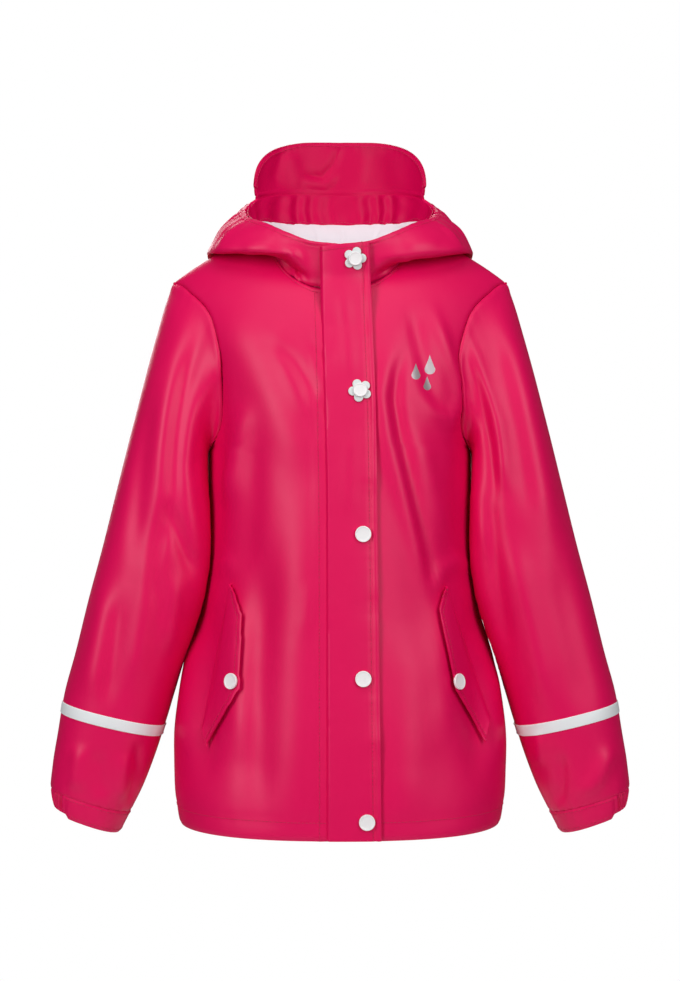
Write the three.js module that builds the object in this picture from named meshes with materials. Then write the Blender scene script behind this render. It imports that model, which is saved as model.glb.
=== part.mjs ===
// A child's hooded rain jacket of coated cloth, standing hollow as if an unseen wearer filled it.
// Millimetres, +Z up. The jacket faces -Y, so its own right side lies at -X. The origin is the middle of the
// neck at the height where the shoulder seams meet the neck seam, which is where a wearer holds the jacket up.
import * as THREE from "three";

// Cloth
const CLOTH = 1.5; // thickness of the coated cloth
const DOUBLE_CLOTH = 2.2; // two layers sewn together: storm flap and pocket flaps
const PEAK_CLOTH = 3; // the stiffened hood peak
const LINING = 1; // the knitted lining
const GAP = 0.3; // between pieces at a seam
const SLEEVE_SEAM = 0.5; // the same round an armhole, measured sideways
const HOOD_SEAM = 0.9; // the same round the neck, measured upwards, where the flats of the two edges differ
const PILE = 0.9; // between a piece that lies on a panel and the panel, whose flats and folds differ a little

// The cut of the body
const HEM = 551; // from the neck point down to the hem
const ARMPIT = 205; // from the shoulder line down to the armpit
const NECK_DROP = 58; // from the shoulder line down to the front of the neck
const NAPE_DROP = 30; // the same at the back, before the nape is lifted
const NAPE_LIFT = 30; // how far the back rises towards the nape
const NAPE_HALF = 150; // half the width of the stretch of the back that rises
const NECK_HALF = 65; // half the width of the neck at the shoulder seams
const TIP_HALF = 158; // half the width across the shoulder tips
const TIP_DROP = 45; // how far a shoulder tip lies below the neck point
const SHOULDER_SOFT = 0.15; // how gently the shoulders' slope begins at the neck, as a share of their length
const SLOPE_ENDS = 200; // level at which the shoulder slope has faded out
const LEAST_DEPTH = 20; // depth below which the body counts as flat when its folds are raised
const HEM_DIP = 4; // how much lower the hem hangs at the centre front than at the sides
const CENTRE_FRONT_IN = 14; // where the fronts meet under the storm flap, in from the flap's seam

// How many flats each surface is made of
const BODY_ROWS = 10; // hem to armpit
const ARM_ROWS = 12; // armpit to shoulder seam
const NECK_COLUMNS = { front: 7, back: 5 }; // centre to neck point
const NECK_CROWDING = 1.5; // more brings them closer together towards the neck point
const NECK_FAN = { out: 0.2, until: 0.2, shoulder: 3 }; // how far the columns spread out below the neckline, and to where
const SHOULDER_COLUMNS = 6; // neck point to shoulder tip
const ROW_CROWDING = 1.6; // more brings the rows closer together towards the shoulder
const SLEEVE_ROWS = 16;
const SLEEVE_COLUMNS = 2 * ARM_ROWS;
const CUFF_ROWS = 2;
const CUFF_COLUMNS = 36;
const HOOD_ROWS = 10;
const HOOD_TURNS = [
  { to: 90, columns: 12 },
  { to: 135, columns: 14 },
  { to: 180, columns: 4 },
];
const ROUND = 16; // sides of a press stud

const RIGHT = -1;
const LEFT = 1;
const FRONT = -1;
const BACK = 1;

// The body's outline at levels below the shoulder line: half width, depth in front of and behind the side
// seams, and how square its corners are seen from above, where 2 is an ellipse.
const BODY = [
  { level: 0, half: 158, front: 0, back: 0, square: 2.3 },
  { level: 30, half: 157, front: 44, back: 60, square: 2.3 },
  { level: 60, half: 150, front: 67, back: 76, square: 2.3 },
  { level: 100, half: 140, front: 88, back: 89, square: 2.3 },
  { level: 150, half: 130, front: 101, back: 96, square: 2.3 },
  { level: 205, half: 124, front: 108, back: 98, square: 2.3 },
  { level: 300, half: 124, front: 115, back: 96, square: 2.15 },
  { level: 350, half: 131, front: 118, back: 97, square: 2.05 },
  { level: 403, half: 146, front: 121, back: 99, square: 2.05 },
  { level: 479, half: 157, front: 125, back: 103, square: 2.3 },
  { level: 517, half: 156, front: 126, back: 104, square: 2.6 },
  { level: 551, half: 151, front: 125, back: 103, square: 2.9 },
];

// The armhole edge, as a share of the body's half width at each level.
const ARMHOLE = [
  { level: 0, front: 1, back: 1 },
  { level: 20, front: 0.935, back: 0.955 },
  { level: 45, front: 0.87, back: 0.9 },
  { level: 75, front: 0.815, back: 0.865 },
  { level: 110, front: 0.8, back: 0.85 },
  { level: 145, front: 0.845, back: 0.875 },
  { level: 175, front: 0.89, back: 0.91 },
  { level: 195, front: 0.945, back: 0.955 },
  { level: 205, front: 1, back: 1 },
];

// A sleeve's sections from the armhole to the cuff seam, then the cuff's edge: its outermost and innermost
// points seen from the front, and how far it reaches to the front and to the back.
const SLEEVE = [
  { outX: 158, outZ: -45, inX: 124, inZ: -205, front: 68, back: 57 },
  { outX: 166, outZ: -68, inX: 126.5, inZ: -209, front: 67, back: 58 },
  { outX: 174, outZ: -97, inX: 126.5, inZ: -215, front: 66, back: 58 },
  { outX: 182, outZ: -128, inX: 123.5, inZ: -224, front: 66, back: 57 },
  { outX: 190, outZ: -160, inX: 119.5, inZ: -238, front: 66, back: 56 },
  { outX: 200, outZ: -200, inX: 114, inZ: -264, front: 67, back: 53 },
  { outX: 211, outZ: -245, inX: 113, inZ: -298, front: 68, back: 49 },
  { outX: 223, outZ: -294, inX: 119, inZ: -335, front: 68, back: 45 },
  { outX: 236, outZ: -343, inX: 133, inZ: -374, front: 67, back: 41 },
  { outX: 248, outZ: -392, inX: 151, inZ: -417, front: 66, back: 38 },
  { outX: 259, outZ: -433, inX: 163, inZ: -456, front: 64, back: 35 },
  { outX: 265, outZ: -468, inX: 174, inZ: -490, front: 60, back: 32 },
  { outX: 270, outZ: -498, inX: 186, inZ: -521, front: 56, back: 29 },
  { outX: 272, outZ: -520, inX: 197, inZ: -543, front: 52, back: 26 },
  { outX: 270, outZ: -541, inX: 207, inZ: -563, front: 48, back: 23 },
];
const CUFF_SEAM = SLEEVE.length - 2; // the section where the cuff is sewn on
const SLEEVE_SQUARE = 2.4; // how square a sleeve's section is, where 2 is an ellipse
const CAP = 5; // sections over which the armhole's shape fades into the tube's
const SLEEVE_CLEAR = 5; // between a sleeve and the body that it hangs against

// The hood lies back, so that its opening faces up. Each row is a slice through it, by its angle from the
// front: the cloth rises from the neck seam, passes its first bend, folds over at its lowest, goes round its
// outermost point and up over its top to the rim of the opening. Each point is its distance from the middle of
// the neck and its height. The last column is the height of the elastic band inside the rim.
const HOOD = [
  { turn: 0, bend: [67.5, -49], low: [69.5, -40], out: [71.5, -32], top: [73, -24], rim: [74, -17], band: 0 },
  { turn: 20, bend: [68.5, -47], low: [70.5, -39], out: [72, -30], top: [73.5, -21], rim: [75, -14], band: 0 },
  { turn: 38, bend: [72, -38], low: [80, -36], out: [85, -28], top: [83, -14], rim: [80, -5], band: 0 },
  { turn: 55, bend: [78, -24], low: [97, -32], out: [103, -24], top: [95, -6], rim: [84, 5], band: 8 },
  { turn: 73, bend: [84, -7], low: [114, -22], out: [121, -19], top: [106, 2], rim: [89, 13], band: 11 },
  { turn: 90, bend: [88, 3], low: [120, -16], out: [126.5, -18], top: [109, 8], rim: [92, 22], band: 11 },
  { turn: 105, bend: [86, 5], low: [122, -24], out: [129.5, -22], top: [111, 11], rim: [94, 31], band: 15 },
  { turn: 120, bend: [83, 1], low: [123, -44], out: [135, -34], top: [119, 12], rim: [92, 42], band: 22 },
  { turn: 140, bend: [80, -6], low: [119, -78], out: [138, -58], top: [122, 8], rim: [89, 48], band: 28 },
  { turn: 160, bend: [79, -12], low: [113, -100], out: [139, -72], top: [124, 4], rim: [88, 50], band: 29 },
  { turn: 180, bend: [79, -14], low: [111, -107], out: [139, -76], top: [125, 2], rim: [88, 50], band: 29 },
];
// Hood cloth gathered beside the peak: between two turns, and from a share of the way to the rim upwards
const BUNCHES = { from: 97, to: 133, count: 4, deep: 4, start: 0.55 };
const BAND = { from: 48, columns: 84, rows: 2, gathers: 21, deep: 1.3, inside: 3, lean: 5, below: 3, flatEnds: 0.15 };
const LINED = { from: 1.5, columns: 36, rows: 5, rimIn: 4.2, neckIn: 5.5, neckUp: 4.5, below: 1.2, pull: 1.5 };
const BAND_IS_WHOLE = 8; // height from which the band leans in by its whole lean

// The stiff peak that stands on the rim at the back.
const PEAK = { from: 117.5, high: 54, lean: 0.14, square: 2.7, ends: 0.984, out: 1, up: 0.45, columns: 18, rows: 3 };

// The storm flap over the centre front: its sewn edge and its free edge at heights from the hem to its top.
const FLAP = [
  { z: -555, sewnX: -12.5, freeX: 37 },
  { z: -250, sewnX: -13, freeX: 33.5 },
  { z: -180, sewnX: -14.5, freeX: 32.5 },
  { z: -60, sewnX: -18, freeX: 28.5 },
  { z: -15, sewnX: -19, freeX: 27 },
];
const FLAP_ROWS = 30;
const FLAP_COLUMNS = 4;
const STAND = { z: -39, r: 73.3, lean: 0.08 }; // the hood's standing front, which the flap's top lies against
const FLAP_LEAVES_BODY = -92; // height at which the flap leaves the chest
const FLAP_MEETS_STAND = -46; // height at which it lies against the hood's standing front
const FLAP_HEM_UP = 0.5; // how far the flap's end lies above the hem
const FLAP_TOP_UP = { sewn: -4, free: 1 }; // how far each corner of its top lies above the table's last height

// Press studs down the flap. The top two sit on five-lobed flower washers.
const STUDS = [
  { x: 13.4, z: -30, flower: true, turn: 14 },
  { x: 18, z: -152, flower: true, turn: 42 },
  { x: 20.6, z: -281 },
  { x: 20.6, z: -410 },
  { x: 24, z: -537 },
];
const STUD = { radius: 7.2, high: 2.6 };
const STUD_PROFILE = [[0, 0], [1, 0], [1, 0.55], [0.86, 0.9], [0.5, 1], [0, 1]]; // shares of radius and height
const FLOWER_STUD = { radius: 6.2, high: 2.4 };
const FLOWER = { lobes: 5, radius: 8.8, swing: 2, high: 1.4, lift: 0.8, sides: 40 };

// Pocket flaps, seen from the front: the sewn edge, the free edge from its lower to its upper end, and the stud.
const POCKETS = [
  {
    side: RIGHT,
    sewn: [[-126, -459], [-99.5, -327]],
    free: [[-118, -474], [-89, -421], [-87, -355], [-94, -333]],
    stud: [-97.6, -414],
  },
  {
    side: LEFT,
    sewn: [[137.5, -450], [96, -329]],
    free: [[130, -473], [101.5, -423], [87, -350], [91.5, -333]],
    stud: [107, -415],
  },
];
const POCKET_STRETCH_ROWS = 4; // for each straight stretch of the free edge
const POCKET_COLUMNS = 4;
const POCKET_LIFT = 2; // how far the free edge stands off the front

// The largest folds, seen from the front or the back: a ridge from one point to another, with its half width
// and its height. A negative height is a trough.
const FRONT_FOLDS = [
  { from: [-100, -105], to: [-40, -245], wide: 24, high: 3.5 },
  { from: [-30, -95], to: [-27, -215], wide: 11, high: -2.5 },
  { from: [-38, -250], to: [-40, -545], wide: 24, high: 3 },
  { from: [-66, -300], to: [-70, -545], wide: 16, high: -2.5 },
  { from: [-88, -330], to: [-90, -480], wide: 12, high: 4 },
  { from: [-119, -350], to: [-124, -505], wide: 12, high: -5 },
  { from: [-142, -372], to: [-144, -486], wide: 9, high: 3 },
  { from: [55, -140], to: [66, -350], wide: 15, high: 4 },
  { from: [79, -150], to: [84, -250], wide: 11, high: -4.5 },
  { from: [84, -235], to: [104, -330], wide: 11, high: -4 },
  { from: [98, -95], to: [108, -215], wide: 10, high: 3.5 },
  { from: [88, -330], to: [95, -470], wide: 12, high: 4 },
  { from: [122, -345], to: [126, -500], wide: 12, high: -5 },
  { from: [72, -375], to: [56, -540], wide: 22, high: 2.5 },
  { from: [142, -400], to: [145, -500], wide: 9, high: 3 },
];
const BACK_FOLDS = [
  { from: [-68, -190], to: [-84, -520], wide: 20, high: 4 },
  { from: [60, -200], to: [76, -520], wide: 22, high: 4 },
  { from: [-4, -230], to: [2, -480], wide: 26, high: -3.5 },
  { from: [-104, -210], to: [-114, -430], wide: 14, high: -3.5 },
  { from: [102, -215], to: [116, -440], wide: 14, high: -3.5 },
  { from: [-106, -150], to: [-58, -255], wide: 14, high: 3 },
  { from: [106, -150], to: [60, -250], wide: 14, high: 3 },
];
const SLEEVE_FRONT_FOLDS = {
  [RIGHT]: [
    { from: [-150, -78], to: [-168, -262], wide: 10, high: 4 },
    { from: [-141, -120], to: [-150, -250], wide: 9, high: -3 },
    { from: [-126, -130], to: [-141, -215], wide: 9, high: 3 },
    { from: [-143, -215], to: [-130, -300], wide: 10, high: 3 },
    { from: [-190, -320], to: [-214, -440], wide: 16, high: 2.5 },
    { from: [-182, -468], to: [-198, -525], wide: 9, high: -3.5 },
  ],
  [LEFT]: [
    { from: [135, -190], to: [146, -370], wide: 10, high: -3.5 },
    { from: [150, -200], to: [164, -390], wide: 11, high: 3.5 },
    { from: [160, -90], to: [186, -240], wide: 14, high: 2.5 },
    { from: [178, -330], to: [206, -440], wide: 18, high: 2.5 },
    { from: [215, -478], to: [218, -525], wide: 9, high: -4 },
    { from: [256, -480], to: [240, -520], wide: 9, high: 3 },
  ],
};
const SLEEVE_BACK_FOLDS = [
  { from: [150, -100], to: [168, -260], wide: 13, high: 3.5 },
  { from: [136, -215], to: [178, -300], wide: 11, high: -3 },
  { from: [190, -290], to: [222, -420], wide: 14, high: 3 },
  { from: [206, -470], to: [224, -525], wide: 9, high: -3 },
];
const FOLD_ENDS = { before: 0.1, full: 0.25 }; // a fold rises from before its first point, as shares of its length
const FOLDS_CLEAR_SEAM = { from: 2, full: 30 }; // depth in front of or behind the side seams where folds start
const FOLDS_CLEAR_SIDE = 1.6; // more brings a sleeve's folds closer to its outer and inner sides

// Shares of the way round from the outermost point
const CUFF_GATHERS = { from: 0.78, to: 1.1, count: 6, deep: 1.5 };
const CUFF_DOWN = 0.45; // between the sleeve's end and its cuff
const TAPE = { section: 10.3, half: 5, thick: 0.7 }; // reflective tape: its middle, as a section of the sleeve

const MATERIALS = {
  coated: { color: 0xd6044c, roughness: 0.5, metalness: 0 },
  elasticated: { color: 0xdb074e, roughness: 0.6, metalness: 0 },
  knitted: { color: 0xeee8ee, roughness: 0.95, metalness: 0 },
  reflective: { color: 0xd8dcdf, roughness: 0.45, metalness: 0.2 },
  studWhite: { color: 0xf4f2f2, roughness: 0.35, metalness: 0 },
  flowerGrey: { color: 0xdde3e2, roughness: 0.4, metalness: 0 },
};

const SAME_PLACE = 0.05; // points closer than this are one
const SHARP_CORNER = 0.2; // cosine between two faces that are smoothed over no more
const INSIDE = -1e-6; // least weight of a point that lies in a triangle

const { lerp, clamp, smoothstep, degToRad, radToDeg } = THREE.MathUtils;
const vec = (x, y, z) => new THREE.Vector3(x, y, z);
const steps = (count) => Array.from({ length: count + 1 }, (_, i) => i / count);

// A smooth curve through one column of a table, which never overshoots between rows.
function curve(rows, by, column) {
  const at = rows.map((row) => row[by]);
  const value = rows.map((row) => row[column]);
  const slope = at.slice(1).map((x, i) => (value[i + 1] - value[i]) / (x - at[i]));
  const tangent = at.map((_, i) => {
    if (i === 0) return slope[0];
    if (i === at.length - 1) return slope[i - 1];
    const product = slope[i - 1] * slope[i];
    return product <= 0 ? 0 : (2 * product) / (slope[i - 1] + slope[i]);
  });
  return (x) => {
    const here = clamp(x, at[0], at[at.length - 1]);
    const i = clamp(at.findLastIndex((a) => a <= here), 0, at.length - 2);
    const span = at[i + 1] - at[i];
    const t = (here - at[i]) / span;
    const start = tangent[i] * span * t * (1 - t) * (1 - t);
    const end = tangent[i + 1] * span * t * t * (t - 1);
    return lerp(value[i], value[i + 1], t * t * (3 - 2 * t)) + start + end;
  };
}

// All columns of a table at once.
function curves(rows, by) {
  const columns = Object.keys(rows[0]).filter((column) => column !== by);
  const along = Object.fromEntries(columns.map((column) => [column, curve(rows, by, column)]));
  return (x) => Object.fromEntries(columns.map((column) => [column, along[column](x)]));
}

// How far the folds of a table lift the cloth at a point seen from the front.
function foldHeight(folds, x, z) {
  let sum = 0;
  const { before, full } = FOLD_ENDS;
  for (const { from: [x0, z0], to: [x1, z1], wide, high } of folds) {
    const long = Math.hypot(x1 - x0, z1 - z0);
    const along = ((x - x0) * (x1 - x0) + (z - z0) * (z1 - z0)) / (long * long);
    const across = ((x - x0) * (z1 - z0) - (z - z0) * (x1 - x0)) / long;
    const ends = smoothstep(along, -before, full) * (1 - smoothstep(along, 1 - full, 1 + before));
    sum += high * ends * Math.exp(-((across / wide) ** 2));
  }
  return sum;
}

// The body. Near the shoulder seam its depth grows with the root of the level, which rounds the shoulder over.
const bodyByRoot = curves(BODY.map(({ level, ...row }) => ({ root: Math.sqrt(level), ...row })), "root");
function bodyAt(face, level) {
  const { half, front, back: behind, square } = bodyByRoot(Math.sqrt(Math.max(0, level)));
  return { half, depth: face === FRONT ? front : behind, square };
}
const armholeAt = curves(ARMHOLE, "level");
const armholeShare = (face, level) => armholeAt(level)[face === FRONT ? "front" : "back"];
const flapAt = curves(FLAP, "z");
const centreFront = (level) => flapAt(-level).sewnX + CENTRE_FRONT_IN;

// A point on the outer face of the body, at a level below the shoulder line.
function bodyPoint(face, x, level) {
  const { half, depth, square } = bodyAt(face, level);
  const share = Math.min(1, Math.abs(x) / half);
  const y = face * depth * (1 - share ** square) ** (1 / square);
  const slope = Math.max(0, 1 - level / SLOPE_ENDS) ** 2;
  const outward = Math.max(0, (Math.abs(x) - NECK_HALF) / (TIP_HALF - NECK_HALF));
  let z = -level - TIP_DROP * slope * outward ** 2 * Math.sqrt((1 + SHOULDER_SOFT) / (outward + SHOULDER_SOFT));
  if (face === BACK) {
    const nape = Math.cos((Math.PI / 2) * Math.min(1, Math.abs(x) / NAPE_HALF)) ** 2;
    z += NAPE_LIFT * slope * smoothstep(level, 0, NAPE_DROP) * nape;
  } else {
    z -= HEM_DIP * smoothstep(level, ARMPIT, HEM) * (1 - share * share);
  }
  const outwards = vec(x / half ** 2, y / Math.max(depth, LEAST_DEPTH) ** 2, 0).normalize();
  const folds = face === FRONT ? FRONT_FOLDS : BACK_FOLDS;
  const awayFromSeam = smoothstep(Math.abs(y), FOLDS_CLEAR_SEAM.from, FOLDS_CLEAR_SEAM.full);
  return vec(x, y, z).addScaledVector(outwards, foldHeight(folds, x, z) * awayFromSeam);
}

// A half of a body panel as rows from the hem up to the neckline and shoulder seam, each from the centre
// outwards. A point is found by its level and its turn, which goes from the centre to a quarter at the side seam.
function panelGrid(face, side) {
  const neckColumns = face === FRONT ? NECK_COLUMNS.front : NECK_COLUMNS.back;
  const neckDrop = face === FRONT ? NECK_DROP : NAPE_DROP;
  const columns = neckColumns + SHOULDER_COLUMNS;
  const quarter = Math.PI / 2;
  const centre = (level) => (face === FRONT ? side * centreFront(Math.max(level, neckDrop)) : 0);
  const centreTurn = (level) => Math.asin(centre(level) / bodyAt(face, level).half);
  const edgeTurn = (level) => Math.asin(Math.min(1, armholeShare(face, level)));
  const point = (level, turn) => bodyPoint(face, side * bodyAt(face, level).half * Math.sin(turn), level);
  const top = Array.from({ length: columns + 1 }, (_, k) => {
    const down = Math.max(0, 1 - k / neckColumns) ** NECK_CROWDING;
    const level = neckDrop * down;
    const neckX = lerp(centre(neckDrop), NECK_HALF, Math.sqrt(1 - down * down));
    const neckTurn = Math.asin(neckX / bodyAt(face, level).half);
    const turn = lerp(neckTurn, quarter, Math.max(0, k - neckColumns) / SHOULDER_COLUMNS);
    // The columns from the neck seam spread out below it, and so do the shoulder seam's next to them.
    const past = Math.min(1, Math.max(0, k - neckColumns) / NECK_FAN.shoulder);
    const fan = k <= neckColumns ? NECK_FAN.out * (k / neckColumns) ** 2 : NECK_FAN.out * (1 - past) ** 2;
    return { level, turn, fan, past };
  });
  const below = steps(BODY_ROWS).map((t) => {
    const level = lerp(HEM, ARMPIT, t);
    return top.map((_, k) => point(level, lerp(centreTurn(level), quarter, k / columns)));
  });
  const above = steps(ARM_ROWS).slice(1).map((t) => {
    const left = (1 - t) ** ROW_CROWDING;
    return top.map((end, k) => {
      const level = lerp(end.level, ARMPIT, left);
      const share = k / columns;
      const aside = (edge) => edge(level) - lerp(edge(end.level), edge(ARMPIT), left);
      const straight = lerp(end.turn, lerp(centreTurn(ARMPIT), quarter, share), left);
      const held = lerp(Math.min(1, left / NECK_FAN.until), 1, end.past);
      const toEdges = (1 - share) ** 2 * aside(centreTurn) + held * share ** 2 * aside(edgeTurn);
      return point(level, straight + toEdges + end.fan * Math.sqrt(left) * (1 - left) ** 3);
    });
  });
  return [...below, ...above];
}

// The way each point of a grid faces, from the quads that meet there. `facing` is -1 where the grid's rows and
// columns turn the other way.
function facings({ grid, ring, facing }) {
  const columns = grid[0].length;
  const sums = grid.map((row) => row.map(() => vec(0, 0, 0)));
  for (let i = 0; i < grid.length - 1; i += 1) {
    for (let j = 0; j < (ring ? columns : columns - 1); j += 1) {
      const corners = [[i, j], [i, (j + 1) % columns], [i + 1, (j + 1) % columns], [i + 1, j]];
      const [a, b, c, d] = corners.map(([row, column]) => grid[row][column]);
      const quad = vec().subVectors(c, a).cross(vec().subVectors(b, d));
      for (const [row, column] of corners) sums[row][column].add(quad);
    }
  }
  return sums.map((row) => row.map((sum) => sum.normalize().multiplyScalar(facing)));
}

// Pieces sewn edge to edge face the same way along their seam, so that both edges are cut along one plane.
// Where they meet at a sharp corner, as under the arm, each keeps its own.
function sewTogether(pieces) {
  const key = (p) => p.toArray().map((v) => Math.round(v / SAME_PLACE)).join();
  const meeting = new Map();
  for (const piece of pieces) {
    piece.own = facings(piece);
    piece.grid.forEach((row, i) =>
      row.forEach((p, j) => meeting.set(key(p), [...(meeting.get(key(p)) ?? []), piece.own[i][j]])),
    );
  }
  for (const piece of pieces) {
    piece.faces = piece.grid.map((row, i) =>
      row.map((p, j) => {
        const like = meeting.get(key(p)).filter((n) => n.dot(piece.own[i][j]) > SHARP_CORNER);
        return like.reduce((sum, n) => sum.add(n), vec(0, 0, 0)).normalize();
      }),
    );
  }
}

// A grid of points moved out along the way they face.
function movedOut(piece, distance) {
  const faces = piece.faces ?? facings(piece);
  return piece.grid.map((row, i) => row.map((p, j) => p.clone().addScaledVector(faces[i][j], distance)));
}

// A closed wall. Its outer face passes through the grid and its inner face lies `thickness` behind it.
function wall(piece, thickness, shift = vec(0, 0, 0)) {
  const { ring, facing } = piece;
  const rows = piece.grid.length;
  const columns = piece.grid[0].length;
  const outer = piece.grid.flat();
  const inner = movedOut(piece, -thickness).flat();
  const points = [...outer, ...inner].map((p) => p.clone().add(shift));
  const at = (i, j) => i * columns + ((j + columns) % columns);
  const behind = (k) => k + outer.length;
  const triangles = [];
  const quad = (a, b, c, d) => triangles.push(...(facing > 0 ? [a, b, c, a, c, d] : [a, c, b, a, d, c]));
  const across = ring ? columns : columns - 1;
  for (let i = 0; i < rows - 1; i += 1) {
    for (let j = 0; j < across; j += 1) {
      const corners = [at(i, j), at(i + 1, j), at(i + 1, j + 1), at(i, j + 1)];
      quad(...corners);
      quad(...corners.map(behind).reverse());
    }
  }
  for (let j = 0; j < across; j += 1) {
    quad(at(0, j), at(0, j + 1), behind(at(0, j + 1)), behind(at(0, j)));
    quad(at(rows - 1, j + 1), at(rows - 1, j), behind(at(rows - 1, j)), behind(at(rows - 1, j + 1)));
  }
  for (let i = 0; i < rows - 1 && !ring; i += 1) {
    const end = columns - 1;
    quad(at(i + 1, 0), at(i, 0), behind(at(i, 0)), behind(at(i + 1, 0)));
    quad(at(i, end), at(i + 1, end), behind(at(i + 1, end)), behind(at(i, end)));
  }
  const geometry = new THREE.BufferGeometry();
  geometry.setAttribute("position", new THREE.Float32BufferAttribute(points.flatMap((p) => p.toArray()), 3));
  geometry.setIndex(triangles);
  return geometry;
}

const jacket = new THREE.Group();
function add(name, geometry, material) {
  const mesh = new THREE.Mesh(geometry, new THREE.MeshStandardMaterial(MATERIALS[material]));
  mesh.name = name;
  jacket.add(mesh);
  return mesh;
}

// Fronts and back
const fronts = {};
for (const side of [RIGHT, LEFT]) fronts[side] = { grid: panelGrid(FRONT, side), facing: -side };
const backHalves = { [RIGHT]: panelGrid(BACK, RIGHT), [LEFT]: panelGrid(BACK, LEFT) };
const backGrid = backHalves[RIGHT].map((row, i) => [...row.toReversed(), ...backHalves[LEFT][i].slice(1)]);
const back = { grid: backGrid, facing: 1 };

// The armhole's edge on one side: from the shoulder tip down the front to the armpit, and up the back.
function armholeLoop(side) {
  const frontEdge = fronts[side].grid.slice(BODY_ROWS).map((row) => row.at(-1));
  const backEdge = backHalves[side].slice(BODY_ROWS).map((row) => row.at(-1));
  return [...frontEdge.toReversed(), ...backEdge.slice(1, -1)];
}

// How far out the body's side lies at a depth and height. A sleeve hangs just clear of it.
function bodySide(y, z) {
  const { half, depth, square } = bodyAt(y < 0 ? FRONT : BACK, Math.max(ARMPIT, -z));
  const share = Math.min(1, Math.abs(y) / depth);
  return half * (1 - share ** square) ** (1 / square);
}

const sleeveAt = curves(SLEEVE.map((row, section) => ({ section, ...row })), "section");

// The middle of a sleeve's section.
function tubeMiddle(side, section) {
  const { outX, outZ, inX, inZ, front, back: behind } = sleeveAt(section);
  return vec((side * (inX + outX)) / 2, (behind - front) / 2, (inZ + outZ) / 2);
}

// A point of a sleeve's tube, at a share of the way round from its outermost point by the front.
function tubePoint(side, section, round) {
  const { outX, outZ, inX, inZ, front, back: behind } = sleeveAt(section);
  const angle = 2 * Math.PI * round;
  const bulge = (value) => Math.sign(value) * Math.abs(value) ** (2 / SLEEVE_SQUARE);
  const outer = (bulge(Math.cos(angle)) + 1) / 2;
  const forward = bulge(Math.sin(angle));
  const middle = tubeMiddle(side, section);
  const y = middle.y - (forward * (front + behind)) / 2;
  const point = vec(side * lerp(inX, outX, outer), y, lerp(inZ, outZ, outer));
  const folds = forward > 0 ? SLEEVE_FRONT_FOLDS[side] : SLEEVE_BACK_FOLDS;
  const lift = foldHeight(folds, forward > 0 ? point.x : side * point.x, point.z);
  const outwards = vec().subVectors(point, middle).normalize();
  return point.addScaledVector(outwards, lift * Math.min(1, Math.abs(forward) * FOLDS_CLEAR_SIDE));
}

function sleeveGrid(side) {
  const loop = armholeLoop(side);
  return steps(SLEEVE_ROWS).map((t) => {
    const section = t * CUFF_SEAM;
    const cap = Math.max(0, 1 - section / CAP) ** 2;
    return loop.map((edge, j) => {
      const point = tubePoint(side, section, j / SLEEVE_COLUMNS);
      const fromTube = vec().subVectors(edge, tubePoint(side, 0, j / SLEEVE_COLUMNS));
      point.addScaledVector(fromTube, cap);
      const clear = bodySide(point.y, point.z) + SLEEVE_CLEAR * (1 - cap);
      if (point.z < -ARMPIT && Math.abs(point.x) < clear) point.x = side * clear;
      return point;
    });
  });
}

const sleeves = {};
for (const side of [RIGHT, LEFT]) sleeves[side] = { grid: sleeveGrid(side), ring: true, facing: -side };
sewTogether([fronts[RIGHT], fronts[LEFT], back, sleeves[RIGHT], sleeves[LEFT]]);

const sideName = { [RIGHT]: "right", [LEFT]: "left" };
for (const side of [RIGHT, LEFT]) {
  add(`front_${sideName[side]}`, wall(fronts[side], CLOTH, vec((side * GAP) / 2, -GAP / 2, 0)), "coated");
}
add("back", wall(back, CLOTH, vec(0, GAP / 2, 0)), "coated");
for (const side of [RIGHT, LEFT]) {
  add(`sleeve_${sideName[side]}`, wall(sleeves[side], CLOTH, vec(side * SLEEVE_SEAM, 0, 0)), "coated");
}

// Cuffs: a band with elastic on its outer and back part
function cuffGrid(side) {
  const { from, to, count, deep } = CUFF_GATHERS;
  return steps(CUFF_ROWS).map((t) => {
    const section = CUFF_SEAM + t;
    return steps(CUFF_COLUMNS).slice(0, -1).map((round) => {
      const point = tubePoint(side, section, round);
      const inside = clamp(((round < to - 1 ? round + 1 : round) - from) / (to - from), 0, 1);
      const held = Math.sin(Math.PI * inside) * deep;
      const outwards = vec().subVectors(point, tubeMiddle(side, section)).normalize();
      return point.addScaledVector(outwards, held * (Math.sin(2 * Math.PI * count * inside) - 1));
    });
  });
}
for (const side of [RIGHT, LEFT]) {
  const cuff = { grid: cuffGrid(side), ring: true, facing: -side };
  add(`cuff_${sideName[side]}`, wall(cuff, CLOTH, vec(side * SLEEVE_SEAM, 0, -CUFF_DOWN)), "elasticated");
}

// Reflective tape round each sleeve
function rowBetween(piece, at) {
  const i = Math.floor(at);
  return piece.grid[i].map((p, j) => p.clone().lerp(piece.grid[i + 1][j], at - i));
}
for (const side of [RIGHT, LEFT]) {
  const section = sleeveAt(TAPE.section);
  const next = sleeveAt(TAPE.section + 1);
  const perSection = Math.hypot(next.outX - section.outX, next.outZ - section.outZ);
  const perRow = CUFF_SEAM / SLEEVE_ROWS;
  const edges = [-TAPE.half, TAPE.half].map((far) => (TAPE.section + far / perSection) / perRow);
  const under = { grid: edges.map((at) => rowBetween(sleeves[side], at)), ring: true, facing: -side };
  const tape = { ...under, grid: movedOut(under, PILE + TAPE.thick) };
  add(`reflective_tape_${sideName[side]}`, wall(tape, TAPE.thick, vec(side * SLEEVE_SEAM, 0, 0)), "reflective");
}

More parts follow.
